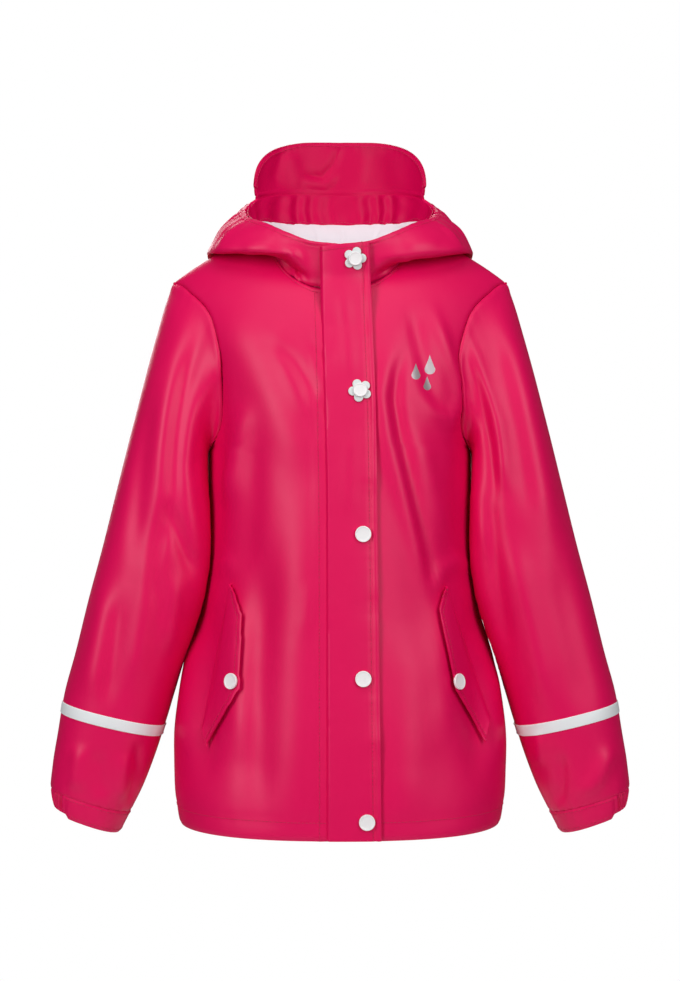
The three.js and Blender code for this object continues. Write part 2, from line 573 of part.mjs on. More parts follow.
// Hood
const hoodTable = HOOD.map(({ turn, bend, low, out, top, rim, band }) => ({
  turn,
  bendR: bend[0],
  bendZ: bend[1],
  lowR: low[0],
  lowZ: low[1],
  outR: out[0],
  outZ: out[1],
  topR: top[0],
  topZ: top[1],
  rimR: rim[0],
  rimZ: rim[1],
  band,
}));
const hoodAt = curves(hoodTable, "turn");

// The neck seam on one side, from the centre front to the centre back, at an angle from the front.
function neckLine(side) {
  const frontEdge = fronts[side].grid.at(-1).slice(0, NECK_COLUMNS.front + 1);
  const backEdge = backHalves[side].at(-1).slice(0, NECK_COLUMNS.back + 1);
  return [...frontEdge, ...backEdge.toReversed().slice(1)].map((p) => ({
    turn: radToDeg(Math.atan2(side * p.x, -p.y)),
    r: Math.hypot(p.x, p.y),
    z: p.z,
  }));
}
const neck = { [RIGHT]: neckLine(RIGHT), [LEFT]: neckLine(LEFT) };
function neckAt(side, turn) {
  const rows = neck[side];
  const i = clamp(rows.findLastIndex((row) => row.turn <= turn), 0, rows.length - 2);
  const [a, b] = [rows[i], rows[i + 1]];
  const toA = a.r * Math.sin(degToRad(Math.max(0, turn - a.turn)));
  const toB = b.r * Math.sin(degToRad(Math.max(0, b.turn - turn)));
  const r = (a.r * b.r * Math.sin(degToRad(b.turn - a.turn))) / (toA + toB);
  return { r, z: lerp(a.z, b.z, toA / (toA + toB)) };
}
const polar = (side, turn, r, z) =>
  vec(side * r * Math.sin(degToRad(turn)), -r * Math.cos(degToRad(turn)), z);

function hoodSlice(side, turn) {
  const start = neckAt(side, turn);
  const at = hoodAt(Math.abs(turn));
  const stations = [
    vec(start.r, 0, start.z + HOOD_SEAM),
    vec(at.bendR, 0, at.bendZ),
    vec(at.lowR, 0, at.lowZ),
    vec(at.outR, 0, at.outZ),
    vec(at.topR, 0, at.topZ),
    vec(at.rimR, 0, at.rimZ),
  ];
  const path = new THREE.CatmullRomCurve3(stations, false, "centripetal");
  const inBunches = clamp((turn - BUNCHES.from) / (BUNCHES.to - BUNCHES.from), 0, 1);
  const bunch = (BUNCHES.deep * (1 - Math.cos(2 * Math.PI * BUNCHES.count * inBunches))) / 2;
  return path.getSpacedPoints(HOOD_ROWS).map((p, i) => {
    const nearRim = smoothstep(i / HOOD_ROWS, BUNCHES.start, 1);
    return polar(side, turn, p.x + bunch * nearRim, p.z);
  });
}

function hoodGrid(side) {
  const turns = [neck[side][0].turn];
  for (const { to, columns } of HOOD_TURNS) {
    const from = turns.at(-1);
    turns.push(...steps(columns).slice(1).map((t) => lerp(from, to, t)));
  }
  const slices = turns.map((turn) => hoodSlice(side, turn));
  return slices[0].map((_, i) => slices.map((slice) => slice[i]));
}
const hood = {};
for (const side of [RIGHT, LEFT]) hood[side] = { grid: hoodGrid(side), facing: -side };
sewTogether([hood[RIGHT], hood[LEFT]]);
for (const side of [RIGHT, LEFT]) {
  add(`hood_${sideName[side]}`, wall(hood[side], CLOTH, vec((side * GAP) / 2, 0, 0)), "coated");
}

// A grid that runs round the neck from one side of the centre front to the other, by the right side, the back
// and the left side.
function roundNeck(from, columns, rows, place) {
  return steps(rows).map((v) =>
    steps(columns).map((u) => {
      const whole = lerp(from, 360 - from, u);
      const side = whole <= 180 ? RIGHT : LEFT;
      const turn = Math.min(whole, 360 - whole);
      const { r, z } = place({ side, turn, u, v });
      return polar(side, turn, r, z);
    }),
  );
}

// The elastic band, gathered inside the rim
const bandGrid = roundNeck(BAND.from, BAND.columns, BAND.rows, ({ turn, u, v }) => {
  const { rimR, rimZ, band } = hoodAt(turn);
  const between = Math.sin(Math.PI * lerp(BAND.flatEnds, 1 - BAND.flatEnds, v));
  const gather = BAND.deep * Math.sin(2 * Math.PI * BAND.gathers * u) * between;
  return { r: rimR - BAND.inside - BAND.lean * v - gather, z: rimZ - BAND.below - band * v };
});
add("hood_band", wall({ grid: bandGrid, facing: 1 }, CLOTH), "elasticated");

// The lining, from the band's lower edge down to the neck seam
const liningGrid = roundNeck(LINED.from, LINED.columns, LINED.rows, ({ side, turn, v }) => {
  const { rimR, rimZ, band } = hoodAt(turn);
  const seam = neckAt(side, turn);
  const topR = rimR - LINED.rimIn - BAND.lean * Math.min(1, band / BAND_IS_WHOLE);
  const topZ = rimZ - BAND.below - band - LINED.below;
  const pull = LINED.pull * Math.sin(Math.PI * v);
  return { r: lerp(topR, seam.r - LINED.neckIn, v) - pull, z: lerp(topZ, seam.z + LINED.neckUp, v) + pull };
});
add("hood_lining", wall({ grid: liningGrid, facing: 1 }, LINING), "knitted");

// The peak
const peakGrid = roundNeck(PEAK.from, PEAK.columns, PEAK.rows, ({ turn, u, v }) => {
  const { rimR, rimZ } = hoodAt(turn);
  const across = PEAK.ends * Math.abs(2 * u - 1);
  const rise = v * PEAK.high * (1 - across ** PEAK.square) ** (1 / PEAK.square);
  return { r: rimR + PEAK.out + PEAK.lean * rise, z: rimZ + PEAK.up + rise };
});
add("hood_peak", wall({ grid: peakGrid, facing: 1 }, PEAK_CLOTH), "coated");

// The point of a faceted surface that lies behind a place seen from the front, and the way its facet faces.
function surfaceAt({ grid, facing }, x, z) {
  const target = vec(x, 0, z);
  const flat = (p) => vec(p.x, 0, p.z);
  for (let i = 0; i < grid.length - 1; i += 1) {
    for (let j = 0; j < grid[i].length - 1; j += 1) {
      const [p, q, r, s] = [grid[i][j], grid[i + 1][j], grid[i + 1][j + 1], grid[i][j + 1]];
      for (const [a, b, c] of [[p, q, r], [p, r, s]]) {
        const weights = THREE.Triangle.getBarycoord(target, flat(a), flat(b), flat(c), vec());
        if (weights && Math.min(...weights.toArray()) > INSIDE) {
          const y = a.y * weights.x + b.y * weights.y + c.y * weights.z;
          const normal = vec().subVectors(b, a).cross(vec().subVectors(c, a)).normalize();
          return { point: vec(x, y, z), normal: normal.multiplyScalar(facing) };
        }
      }
    }
  }
  return null;
}
const onFronts = (x, z) => surfaceAt(fronts[RIGHT], x, z) ?? surfaceAt(fronts[LEFT], x, z);

// The storm flap lies on the chest, leaves it below the neck seam, and stands against the front of the hood.
function flapPoint(x, z) {
  const out = PILE + DOUBLE_CLOTH;
  const onChest = (height) => onFronts(x, height).point.y - out;
  const onStand = (height) => -Math.sqrt((STAND.r + STAND.lean * (height - STAND.z) + out) ** 2 - x * x);
  if (z <= FLAP_LEAVES_BODY) return vec(x, onChest(z), z);
  if (z >= FLAP_MEETS_STAND) return vec(x, onStand(z), z);
  const t = (z - FLAP_LEAVES_BODY) / (FLAP_MEETS_STAND - FLAP_LEAVES_BODY);
  return vec(x, lerp(onChest(FLAP_LEAVES_BODY), onStand(FLAP_MEETS_STAND), t), z);
}
const hemAt = (x) => bodyPoint(FRONT, x, HEM).z + FLAP_HEM_UP;
const flapTop = FLAP.at(-1).z;
const flapGrid = steps(FLAP_ROWS).map((t) =>
  steps(FLAP_COLUMNS).map((u) => {
    const { sewnX, freeX } = flapAt(lerp(FLAP[0].z, flapTop, t));
    const x = lerp(sewnX, freeX, u);
    return flapPoint(x, lerp(hemAt(x), flapTop + lerp(FLAP_TOP_UP.sewn, FLAP_TOP_UP.free, u), t));
  }),
);
const flap = { grid: flapGrid, facing: -1 };
add("storm_flap", wall(flap, DOUBLE_CLOTH), "coated");

// Pocket flaps, from the points of the fronts
function pocketGrid({ side, sewn, free }) {
  const rows = (free.length - 1) * POCKET_STRETCH_ROWS;
  const between = ([x0, z0], [x1, z1], t) => [lerp(x0, x1, t), lerp(z0, z1, t)];
  return steps(rows).map((t, i) => {
    const stretch = Math.min(free.length - 2, Math.floor(i / POCKET_STRETCH_ROWS));
    const edge = between(free[stretch], free[stretch + 1], i / POCKET_STRETCH_ROWS - stretch);
    const seam = between(sewn[0], sewn[1], t);
    return steps(POCKET_COLUMNS).map((u) => {
      const { point, normal } = surfaceAt(fronts[side], ...between(seam, edge, u));
      return point.addScaledVector(normal, PILE + DOUBLE_CLOTH + POCKET_LIFT * u);
    });
  });
}

// Press studs: a domed cap that lies flat on the cloth
function studGeometry({ radius, high }) {
  const profile = STUD_PROFILE.map(([r, h]) => new THREE.Vector2(r * radius, h * high));
  return new THREE.LatheGeometry(profile, ROUND).rotateX(Math.PI / 2); // its axis now lies along +Z
}
function flowerGeometry({ lobes, radius, swing, high, sides }) {
  const outline = steps(sides).slice(0, -1).map((t) => {
    const angle = 2 * Math.PI * t;
    const r = radius + swing * Math.cos(lobes * angle);
    return new THREE.Vector2(r * Math.cos(angle), r * Math.sin(angle));
  });
  return new THREE.ExtrudeGeometry(new THREE.Shape(outline), { depth: high, bevelEnabled: false, steps: 1 });
}
function placeOn(mesh, surface, [x, z], lift, turn = 0) {
  const { point, normal } = surfaceAt(surface, x, z);
  mesh.position.copy(point).addScaledVector(normal, lift);
  mesh.quaternion.setFromUnitVectors(vec(0, 0, 1), normal);
  mesh.rotateZ(degToRad(turn));
}
STUDS.forEach(({ x, z, flower, turn }, i) => {
  const name = `stud_${i + 1}`;
  if (flower) {
    const onFlower = FLOWER.lift + FLOWER.high + GAP;
    placeOn(add(`${name}_flower`, flowerGeometry(FLOWER), "flowerGrey"), flap, [x, z], FLOWER.lift, turn);
    placeOn(add(name, studGeometry(FLOWER_STUD), "studWhite"), flap, [x, z], onFlower);
  } else {
    placeOn(add(name, studGeometry(STUD), "studWhite"), flap, [x, z], PILE);
  }
});
for (const pocket of POCKETS) {
  const piece = { grid: pocketGrid(pocket), facing: pocket.side };
  const name = sideName[pocket.side];
  add(`pocket_flap_${name}`, wall(piece, DOUBLE_CLOTH), "coated");
  placeOn(add(`pocket_stud_${name}`, studGeometry(STUD), "studWhite"), piece, pocket.stud, PILE);
}

export default jacket;
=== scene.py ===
"""A child's pink hooded rain jacket, standing hollow with its hood down, in a pale studio."""

from math import asin, atan2, cos, degrees, exp, hypot, pi, radians, sin, sqrt

import bpy
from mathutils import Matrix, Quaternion, Vector
from mathutils.bvhtree import BVHTree


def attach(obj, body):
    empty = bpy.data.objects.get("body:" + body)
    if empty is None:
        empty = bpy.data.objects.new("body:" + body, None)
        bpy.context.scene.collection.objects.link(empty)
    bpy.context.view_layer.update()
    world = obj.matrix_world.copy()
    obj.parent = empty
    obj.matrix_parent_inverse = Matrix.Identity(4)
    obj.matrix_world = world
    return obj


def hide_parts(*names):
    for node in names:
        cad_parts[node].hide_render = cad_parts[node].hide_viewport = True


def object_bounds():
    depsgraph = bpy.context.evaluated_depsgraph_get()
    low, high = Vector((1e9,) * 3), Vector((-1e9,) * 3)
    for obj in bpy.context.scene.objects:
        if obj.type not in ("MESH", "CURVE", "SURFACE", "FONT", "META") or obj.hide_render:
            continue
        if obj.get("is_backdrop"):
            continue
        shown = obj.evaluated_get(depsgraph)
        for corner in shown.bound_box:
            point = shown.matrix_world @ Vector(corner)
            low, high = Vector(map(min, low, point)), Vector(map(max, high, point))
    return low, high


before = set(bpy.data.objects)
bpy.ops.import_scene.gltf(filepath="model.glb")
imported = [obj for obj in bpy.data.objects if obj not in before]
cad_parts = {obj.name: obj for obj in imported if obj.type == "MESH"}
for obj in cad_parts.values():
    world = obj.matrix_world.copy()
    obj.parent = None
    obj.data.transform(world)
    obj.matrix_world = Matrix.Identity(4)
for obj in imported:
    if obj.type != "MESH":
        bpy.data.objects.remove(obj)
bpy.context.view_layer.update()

# Camera and studio
# The jacket is seen straight from the front, from two metres away and from the height of its middle. It hangs
# as high as a child would wear it above a pale round floor, and is lit by large soft lights.
MM = 0.001  # sizes are in millimetres, in the frame of the CAD model
CAMERA = {"away": 2000, "height": -242, "seen_high": 932}
FLOOR = {"down": 1150, "radius": 1300}
SURROUNDINGS = {"seen": 1, "light": 0.07}  # brightness of the paper behind, and of the light from it
SENSOR_HIGH = 36
LIGHTS = [
    {"name": "key", "at": (1350, -1900, 680), "aim": (0, 0, -200), "wide": 1100, "high": 1900, "watts": 29},
    {"name": "fill", "at": (-1350, -1850, 580), "aim": (0, 0, -200), "wide": 700, "high": 1800, "watts": 31},
    {"name": "overhead", "at": (0, -700, 1500), "aim": (0, 0, -100), "wide": 1500, "high": 1000, "watts": 9},
    {"name": "behind", "at": (-500, 2300, 700), "aim": (0, 0, -250), "wide": 1800, "high": 1600, "watts": 34},
]

scene = bpy.context.scene
camera_data = bpy.data.cameras.new("camera")
camera_data.sensor_fit = "VERTICAL"
camera_data.sensor_height = SENSOR_HIGH
camera_data.lens = SENSOR_HIGH * CAMERA["away"] / CAMERA["seen_high"]
camera = bpy.data.objects.new("camera", camera_data)
camera.location = Vector((0, -CAMERA["away"], CAMERA["height"])) * MM
camera.rotation_euler = (pi / 2, 0, 0)
scene.collection.objects.link(camera)
scene.camera = camera
scene.view_settings.view_transform = "Standard"

for light in LIGHTS:
    data = bpy.data.lights.new(light["name"], "AREA")
    data.shape = "RECTANGLE"
    data.size = light["wide"] * MM
    data.size_y = light["high"] * MM
    data.energy = light["watts"]
    lamp = bpy.data.objects.new(light["name"], data)
    lamp.location = Vector(light["at"]) * MM
    lamp.visible_camera = False
    lamp.rotation_euler = (Vector(light["aim"]) - Vector(light["at"])).to_track_quat("-Z", "Y").to_euler()
    scene.collection.objects.link(lamp)


class Shade:
    """A value in a material, which can be calculated with."""

    def __init__(self, tree, socket=None):
        self.tree = tree
        self.socket = socket

    def node(self, kind, inputs, output=0, **settings):
        node = self.tree.nodes.new(kind)
        for name, value in settings.items():
            setattr(node, name, value)
        for name, value in inputs.items():
            if isinstance(value, Shade):
                self.tree.links.new(value.socket, node.inputs[name])
            else:
                node.inputs[name].default_value = value
        return Shade(self.tree, node.outputs[output])

    def maths(self, operation, *values):
        return self.node("ShaderNodeMath", dict(enumerate(values)), operation=operation)

    def __add__(self, other):
        return self.maths("ADD", self, other)

    def __sub__(self, other):
        return self.maths("SUBTRACT", self, other)

    def __rsub__(self, other):
        return self.maths("SUBTRACT", other, self)

    def __mul__(self, other):
        return self.maths("MULTIPLY", self, other)

    def __truediv__(self, other):
        return self.maths("DIVIDE", self, other)

    def __rtruediv__(self, other):
        return self.maths("DIVIDE", other, self)

    __radd__ = __add__
    __rmul__ = __mul__


def colour(red, green, blue):
    """A linear colour from the 0 to 255 values that a screen shows."""
    linear = [((c / 255 + 0.055) / 1.055) ** 2.4 if c > 10 else c / 255 / 12.92 for c in (red, green, blue)]
    return (*linear, 1)


def material(name, **constants):
    """A new material, its Principled shader with those constants, and a value to calculate with."""
    made = bpy.data.materials.new(name)
    made.use_nodes = True
    shader = made.node_tree.nodes["Principled BSDF"]
    for key, value in constants.items():
        shader.inputs[key.replace("_", " ")].default_value = value
    return made, shader, Shade(made.node_tree)


scene.world = bpy.data.worlds.new("studio")
scene.world.use_nodes = True
studio = Shade(scene.world.node_tree)
background = scene.world.node_tree.nodes["Background"]
background.inputs["Color"].default_value = (1, 1, 1, 1)
seen = studio.node("ShaderNodeLightPath", {})
strength = seen * (SURROUNDINGS["seen"] - SURROUNDINGS["light"]) + SURROUNDINGS["light"]
scene.world.node_tree.links.new(strength.socket, background.inputs["Strength"])

pale, pale_shader, value = material("pale_floor", Base_Color=colour(236, 236, 236), Roughness=0.8)
pale_shader.inputs["Specular IOR Level"].default_value = 0.2
place = value.node("ShaderNodeTexCoord", {}, output=3)
speckle = value.node("ShaderNodeTexNoise", {"Vector": place, "Scale": 300, "Detail": 2})
uneven = value.node("ShaderNodeBump", {"Strength": 0.1, "Distance": 0.0005, "Height": speckle})
pale.node_tree.links.new(uneven.socket, pale_shader.inputs["Normal"])
bpy.ops.object.select_all(action="DESELECT")
bpy.ops.mesh.primitive_circle_add(vertices=128, radius=FLOOR["radius"] * MM, fill_type="NGON")
floor = bpy.context.object
floor.name = "pale_floor"
for vertex in floor.data.vertices:
    vertex.co.z = -FLOOR["down"] * MM
floor.data.materials.append(pale)
floor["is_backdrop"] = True

# Fronts and back
# The body is three panels of polyester coated with soft pink polyurethane, sewn at the sides and shoulders,
# turned up and stitched round the hem. It is filled out from inside, with a round chest and square hips.
CLOTH = 1.5
HEM = 551
ARMPIT = 205
NECK_DROP = {"front": 58, "back": 30}
NAPE_LIFT = 30
NAPE_HALF = 150
NECK_HALF = 65
TIP_HALF = 158
TIP_DROP = 45
SHOULDER_SOFT = 0.15
SLOPE_ENDS = 200
LEAST_DEPTH = 20
HEM_DIP = 4
CENTRE_FRONT_IN = 14
NECK_FAN = {"out": 0.2, "until": 0.2, "shoulder": 3}
NECK_CROWDING = 1.5
ROW_CROWDING = 1.6
NECK_COLUMNS = {"front": 7, "back": 5}
SHOULDER_COLUMNS = 6
BODY_ROWS = 10
ARM_ROWS = 12
FRONT, BACK = -1, 1
RIGHT, LEFT = -1, 1
FACE = {FRONT: "front", BACK: "back"}
SIDE = {RIGHT: "right", LEFT: "left"}

# A level is a depth below the shoulder line.
BODY = [
    {"level": 0, "half": 158, "front": 0, "back": 0, "square": 2.3},
    {"level": 30, "half": 157, "front": 44, "back": 60, "square": 2.3},
    {"level": 60, "half": 150, "front": 67, "back": 76, "square": 2.3},
    {"level": 100, "half": 140, "front": 88, "back": 89, "square": 2.3},
    {"level": 150, "half": 130, "front": 101, "back": 96, "square": 2.3},
    {"level": 205, "half": 124, "front": 108, "back": 98, "square": 2.3},
    {"level": 300, "half": 124, "front": 115, "back": 96, "square": 2.15},
    {"level": 350, "half": 131, "front": 118, "back": 97, "square": 2.05},
    {"level": 403, "half": 146, "front": 121, "back": 99, "square": 2.05},
    {"level": 479, "half": 157, "front": 125, "back": 103, "square": 2.3},
    {"level": 517, "half": 156, "front": 126, "back": 104, "square": 2.6},
    {"level": 551, "half": 151, "front": 125, "back": 103, "square": 2.9},
]
ARMHOLE = [
    {"level": 0, "front": 1, "back": 1},
    {"level": 20, "front": 0.935, "back": 0.955},
    {"level": 45, "front": 0.87, "back": 0.9},
    {"level": 75, "front": 0.815, "back": 0.865},
    {"level": 110, "front": 0.8, "back": 0.85},
    {"level": 145, "front": 0.845, "back": 0.875},
    {"level": 175, "front": 0.89, "back": 0.91},
    {"level": 195, "front": 0.945, "back": 0.955},
    {"level": 205, "front": 1, "back": 1},
]
FLAP = [
    {"z": -555, "sewn": -12.5, "free": 37},
    {"z": -250, "sewn": -13, "free": 33.5},
    {"z": -180, "sewn": -14.5, "free": 32.5},
    {"z": -60, "sewn": -18, "free": 28.5},
    {"z": -15, "sewn": -19, "free": 27},
]

# A fold is a ridge along points seen from the front or the back, with its half width and height. A negative
# height is a trough.
FRONT_FOLDS = [
    {"along": [(-105, -75), (-92, -105), (-66, -150), (-32, -222)], "wide": 22, "high": 4},
    {"along": [(-60, -106), (-41, -127), (-30, -144), (-24, -164)], "wide": 6, "high": -2.4},
    {"along": [(-62, -90), (-44, -140), (-28, -176)], "wide": 9, "high": 2},
    {"along": [(-86, -165), (-94, -213), (-106, -252)], "wide": 10, "high": 4.5},
    {"along": [(-110, -120), (-112, -300)], "wide": 7, "high": -3},
    {"along": [(-82, -190), (-80, -250), (-86, -320)], "wide": 12, "high": -3},
    {"along": [(-36, -250), (-40, -400), (-40, -545)], "wide": 22, "high": 4},
    {"along": [(-68, -300), (-76, -420), (-72, -545)], "wide": 15, "high": -4},
    {"along": [(-97, -318), (-104, -306), (-112, -318)], "wide": 6, "high": 2},
    {"along": [(-88, -330), (-90, -480)], "wide": 12, "high": 4},
    {"along": [(-119, -350), (-124, -505)], "wide": 12, "high": -5},
    {"along": [(-142, -372), (-144, -486)], "wide": 9, "high": 4},
    {"along": [(-26, -325), (-30, -370)], "wide": 4, "high": 1.4},
    {"along": [(46, -118), (37, -155), (42, -192), (55, -236), (70, -291), (80, -345)], "wide": 8, "high": 4},
    {"along": [(59, -118), (52, -136), (50, -162), (55, -190), (65, -238), (77, -291), (85, -335)],
     "wide": 6, "high": -4.5},
    {"along": [(66, -75), (74, -112), (84, -150), (94, -165)], "wide": 8, "high": -3.4},
    {"along": [(85, -74), (96, -107), (108, -140), (110, -163), (101, -178), (85, -172), (74, -156)],
     "wide": 6, "high": 3.6},
    {"along": [(70, -185), (84, -240), (96, -285)], "wide": 9, "high": 2.4},
    {"along": [(114, -175), (108, -240), (112, -300)], "wide": 8, "high": -2.6},
    {"along": [(88, -330), (95, -470)], "wide": 12, "high": 4},
    {"along": [(84, -334), (93, -314), (106, -308), (120, -312)], "wide": 6, "high": 3},
    {"along": [(122, -345), (126, -500)], "wide": 12, "high": -5},
    {"along": [(72, -375), (56, -540)], "wide": 20, "high": 3.5},
    {"along": [(142, -400), (145, -500)], "wide": 9, "high": 4},
]
BACK_FOLDS = [
    {"along": [(-68, -190), (-84, -520)], "wide": 20, "high": 4},
    {"along": [(60, -200), (76, -520)], "wide": 22, "high": 4},
    {"along": [(-4, -230), (2, -480)], "wide": 26, "high": -3.5},
    {"along": [(-104, -210), (-114, -430)], "wide": 14, "high": -3.5},
    {"along": [(102, -215), (116, -440)], "wide": 14, "high": -3.5},
    {"along": [(-106, -150), (-58, -255)], "wide": 14, "high": 3},
    {"along": [(106, -150), (60, -250)], "wide": 14, "high": 3},
    {"along": [(-40, -300), (-30, -520)], "wide": 9, "high": 1.5},
    {"along": [(34, -260), (38, -450)], "wide": 9, "high": 1.5},
]
FOLD_ENDS = {"before": 0.1, "full": 0.25}
FOLDS_CLEAR_SEAM = {"from": 2, "full": 30}
STITCH = {"long": 2.5, "step": 3.3, "radius": 0.28, "sunk": 0.05, "sides": 6}
HEM_UP = 17
STRIP_OUT = 21.5
STRIP_STITCH = {"away": 1.6, "end": 0.96}
NECK_SEAM = {"puckers_until": 18, "groove_until": 16, "stitch": 6, "stitch_end": 0.38}
SEAM = {"deep": 1.2, "wide": 1.5, "pucker": 0.4, "reach": 7, "period": 11}


def mix(a, b, t):
    return a + (b - a) * t


def clamp(value, low, high):
    return max(low, min(high, value))


def smooth(value, low, high):
    t = clamp((value - low) / (high - low), 0, 1)
    return t * t * (3 - 2 * t)


def curve(rows, by, column):
    """A smooth curve through one column of a table, which never overshoots between rows."""
    at = [row[by] for row in rows]
    value = [row[column] for row in rows]
    slope = [(value[i + 1] - value[i]) / (at[i + 1] - at[i]) for i in range(len(at) - 1)]
    tangent = [slope[0]]
    for before, after in zip(slope, slope[1:]):
        tangent.append(0 if before * after <= 0 else 2 * before * after / (before + after))
    tangent.append(slope[-1])

    def along(x):
        here = clamp(x, at[0], at[-1])
        i = max(k for k in range(len(at) - 1) if at[k] <= here)
        span = at[i + 1] - at[i]
        t = (here - at[i]) / span
        start = tangent[i] * span * t * (1 - t) * (1 - t)
        end = tangent[i + 1] * span * t * t * (t - 1)
        return mix(value[i], value[i + 1], t * t * (3 - 2 * t)) + start + end

    return along


def curves(rows, by):
    columns = {column: curve(rows, by, column) for column in rows[0] if column != by}
    return lambda x: {column: along(x) for column, along in columns.items()}


def fold_height(folds, x, z):
    """How far the folds of a table lift the cloth at a point seen from the front."""
    total = 0
    for fold in folds:
        points = fold["along"]
        lengths = [hypot(b[0] - a[0], b[1] - a[1]) for a, b in zip(points, points[1:])]
        nearest, place, run = None, 0, 0
        for k, long in enumerate(lengths):
            (x0, z0), (x1, z1) = points[k], points[k + 1]
            t = ((x - x0) * (x1 - x0) + (z - z0) * (z1 - z0)) / long**2
            low = 0 if k else -1
            high = 1 if k < len(lengths) - 1 else 2
            held = clamp(t, low, high)
            away = hypot(x - mix(x0, x1, held), z - mix(z0, z1, held))
            if nearest is None or away < nearest:
                nearest, place = away, run + held * long
            run += long
        if nearest < 3 * fold["wide"]:
            share = place / run
            before, full = FOLD_ENDS["before"], FOLD_ENDS["full"]
            ends = smooth(share, -before, full) * (1 - smooth(share, 1 - full, 1 + before))
            total += fold["high"] * ends * exp(-((nearest / fold["wide"]) ** 2))
    return total


body_by_root = curves([{"root": sqrt(row["level"]), **row} for row in BODY], "root")
armhole_at = curves(ARMHOLE, "level")
flap_at = curves(FLAP, "z")


def body_at(face, level):
    row = body_by_root(sqrt(max(0, level)))
    return row["half"], row[FACE[face]], row["square"]


def body_point(face, x, level):
    half, depth, square = body_at(face, level)
    share = min(1, abs(x) / half)
    y = face * depth * (1 - share**square) ** (1 / square)
    slope = max(0, 1 - level / SLOPE_ENDS) ** 2
    outward = max(0, (abs(x) - NECK_HALF) / (TIP_HALF - NECK_HALF))
    z = -level - TIP_DROP * slope * outward**2 * sqrt((1 + SHOULDER_SOFT) / (outward + SHOULDER_SOFT))
    if face == BACK:
        nape = cos(pi / 2 * min(1, abs(x) / NAPE_HALF)) ** 2
        z += NAPE_LIFT * slope * smooth(level, 0, NECK_DROP["back"]) * nape
    else:
        z -= HEM_DIP * smooth(level, ARMPIT, HEM) * (1 - share * share)
    outwards = Vector((x / half**2, y / max(depth, LEAST_DEPTH) ** 2, 0)).normalized()
    folds = FRONT_FOLDS if face == FRONT else BACK_FOLDS
    clear = smooth(abs(y), FOLDS_CLEAR_SEAM["from"], FOLDS_CLEAR_SEAM["full"])
    return Vector((x, y, z)) + outwards * (fold_height(folds, x, z) * clear)


def between(counts, finer_start=0, finer_end=0):
    """Steps of 1 / counts[1] from 0 to counts[0], with extra ones that halve towards the ends."""
    whole, parts = counts
    steps = [k / parts for k in range(whole * parts + 1)]
    first = [1 / parts / 2**k for k in range(finer_start, 0, -1)]
    last = [whole - 1 / parts / 2**k for k in range(1, finer_end + 1)]
    return steps[:1] + first + steps[1:-1] + last + steps[-1:]


def panel_grid(face, side):
    """Half a panel as rows from the hem to the neckline and shoulder seam, each from the centre outwards."""
    name = FACE[face]
    neck = NECK_COLUMNS[name]
    drop = NECK_DROP[name]
    whole = neck + SHOULDER_COLUMNS

    def centre(level):
        if face == BACK:
            return 0
        return side * (flap_at(-max(level, drop))["sewn"] + CENTRE_FRONT_IN)

    def centre_turn(level):
        return asin(centre(level) / body_at(face, level)[0])

    def edge_turn(level):
        return asin(min(1, armhole_at(level)[name]))

    def point(level, turn):
        return body_point(face, side * body_at(face, level)[0] * sin(turn), level)

    top = []
    for k in between((whole, 3), finer_end=4):
        down = max(0, 1 - k / neck) ** NECK_CROWDING
        level = drop * down
        neck_x = mix(centre(drop), NECK_HALF, sqrt(1 - down * down))
        turn = mix(asin(neck_x / body_at(face, level)[0]), pi / 2, max(0, k - neck) / SHOULDER_COLUMNS)
        # The columns from the neck seam spread out below it, and so do the shoulder seam's next to them.
        past = clamp((k - neck) / NECK_FAN["shoulder"], 0, 1)
        fan = NECK_FAN["out"] * ((k / neck) ** 3 if k <= neck else (1 - past) ** 2)
        top.append((k / whole, level, turn, fan, past))
    rows = []
    for t in between((BODY_ROWS, 6), finer_start=3):
        level = mix(HEM, ARMPIT, t / BODY_ROWS)
        rows.append([point(level, mix(centre_turn(level), pi / 2, share)) for share, *_ in top])
    for t in between((ARM_ROWS, 4), finer_end=2)[1:]:
        left = (1 - t / ARM_ROWS) ** ROW_CROWDING
        row = []
        for share, end_level, end_turn, fan, past_neck in top:
            level = mix(end_level, ARMPIT, left)

            def aside(edge, start):
                return edge(level) - mix(edge(start), edge(ARMPIT), left)

            held = mix(smooth(left, 0, NECK_FAN["until"]), 1, past_neck)
            straight = mix(end_turn, mix(centre_turn(ARMPIT), pi / 2, share), left)
            to_centre = (1 - share) ** 2 * aside(centre_turn, end_level)
            to_edges = to_centre + held * share**2 * aside(edge_turn, 0)
            row.append(point(level, straight + to_edges + fan * sqrt(left) * (1 - left) ** 3))
        rows.append(row)
    return rows


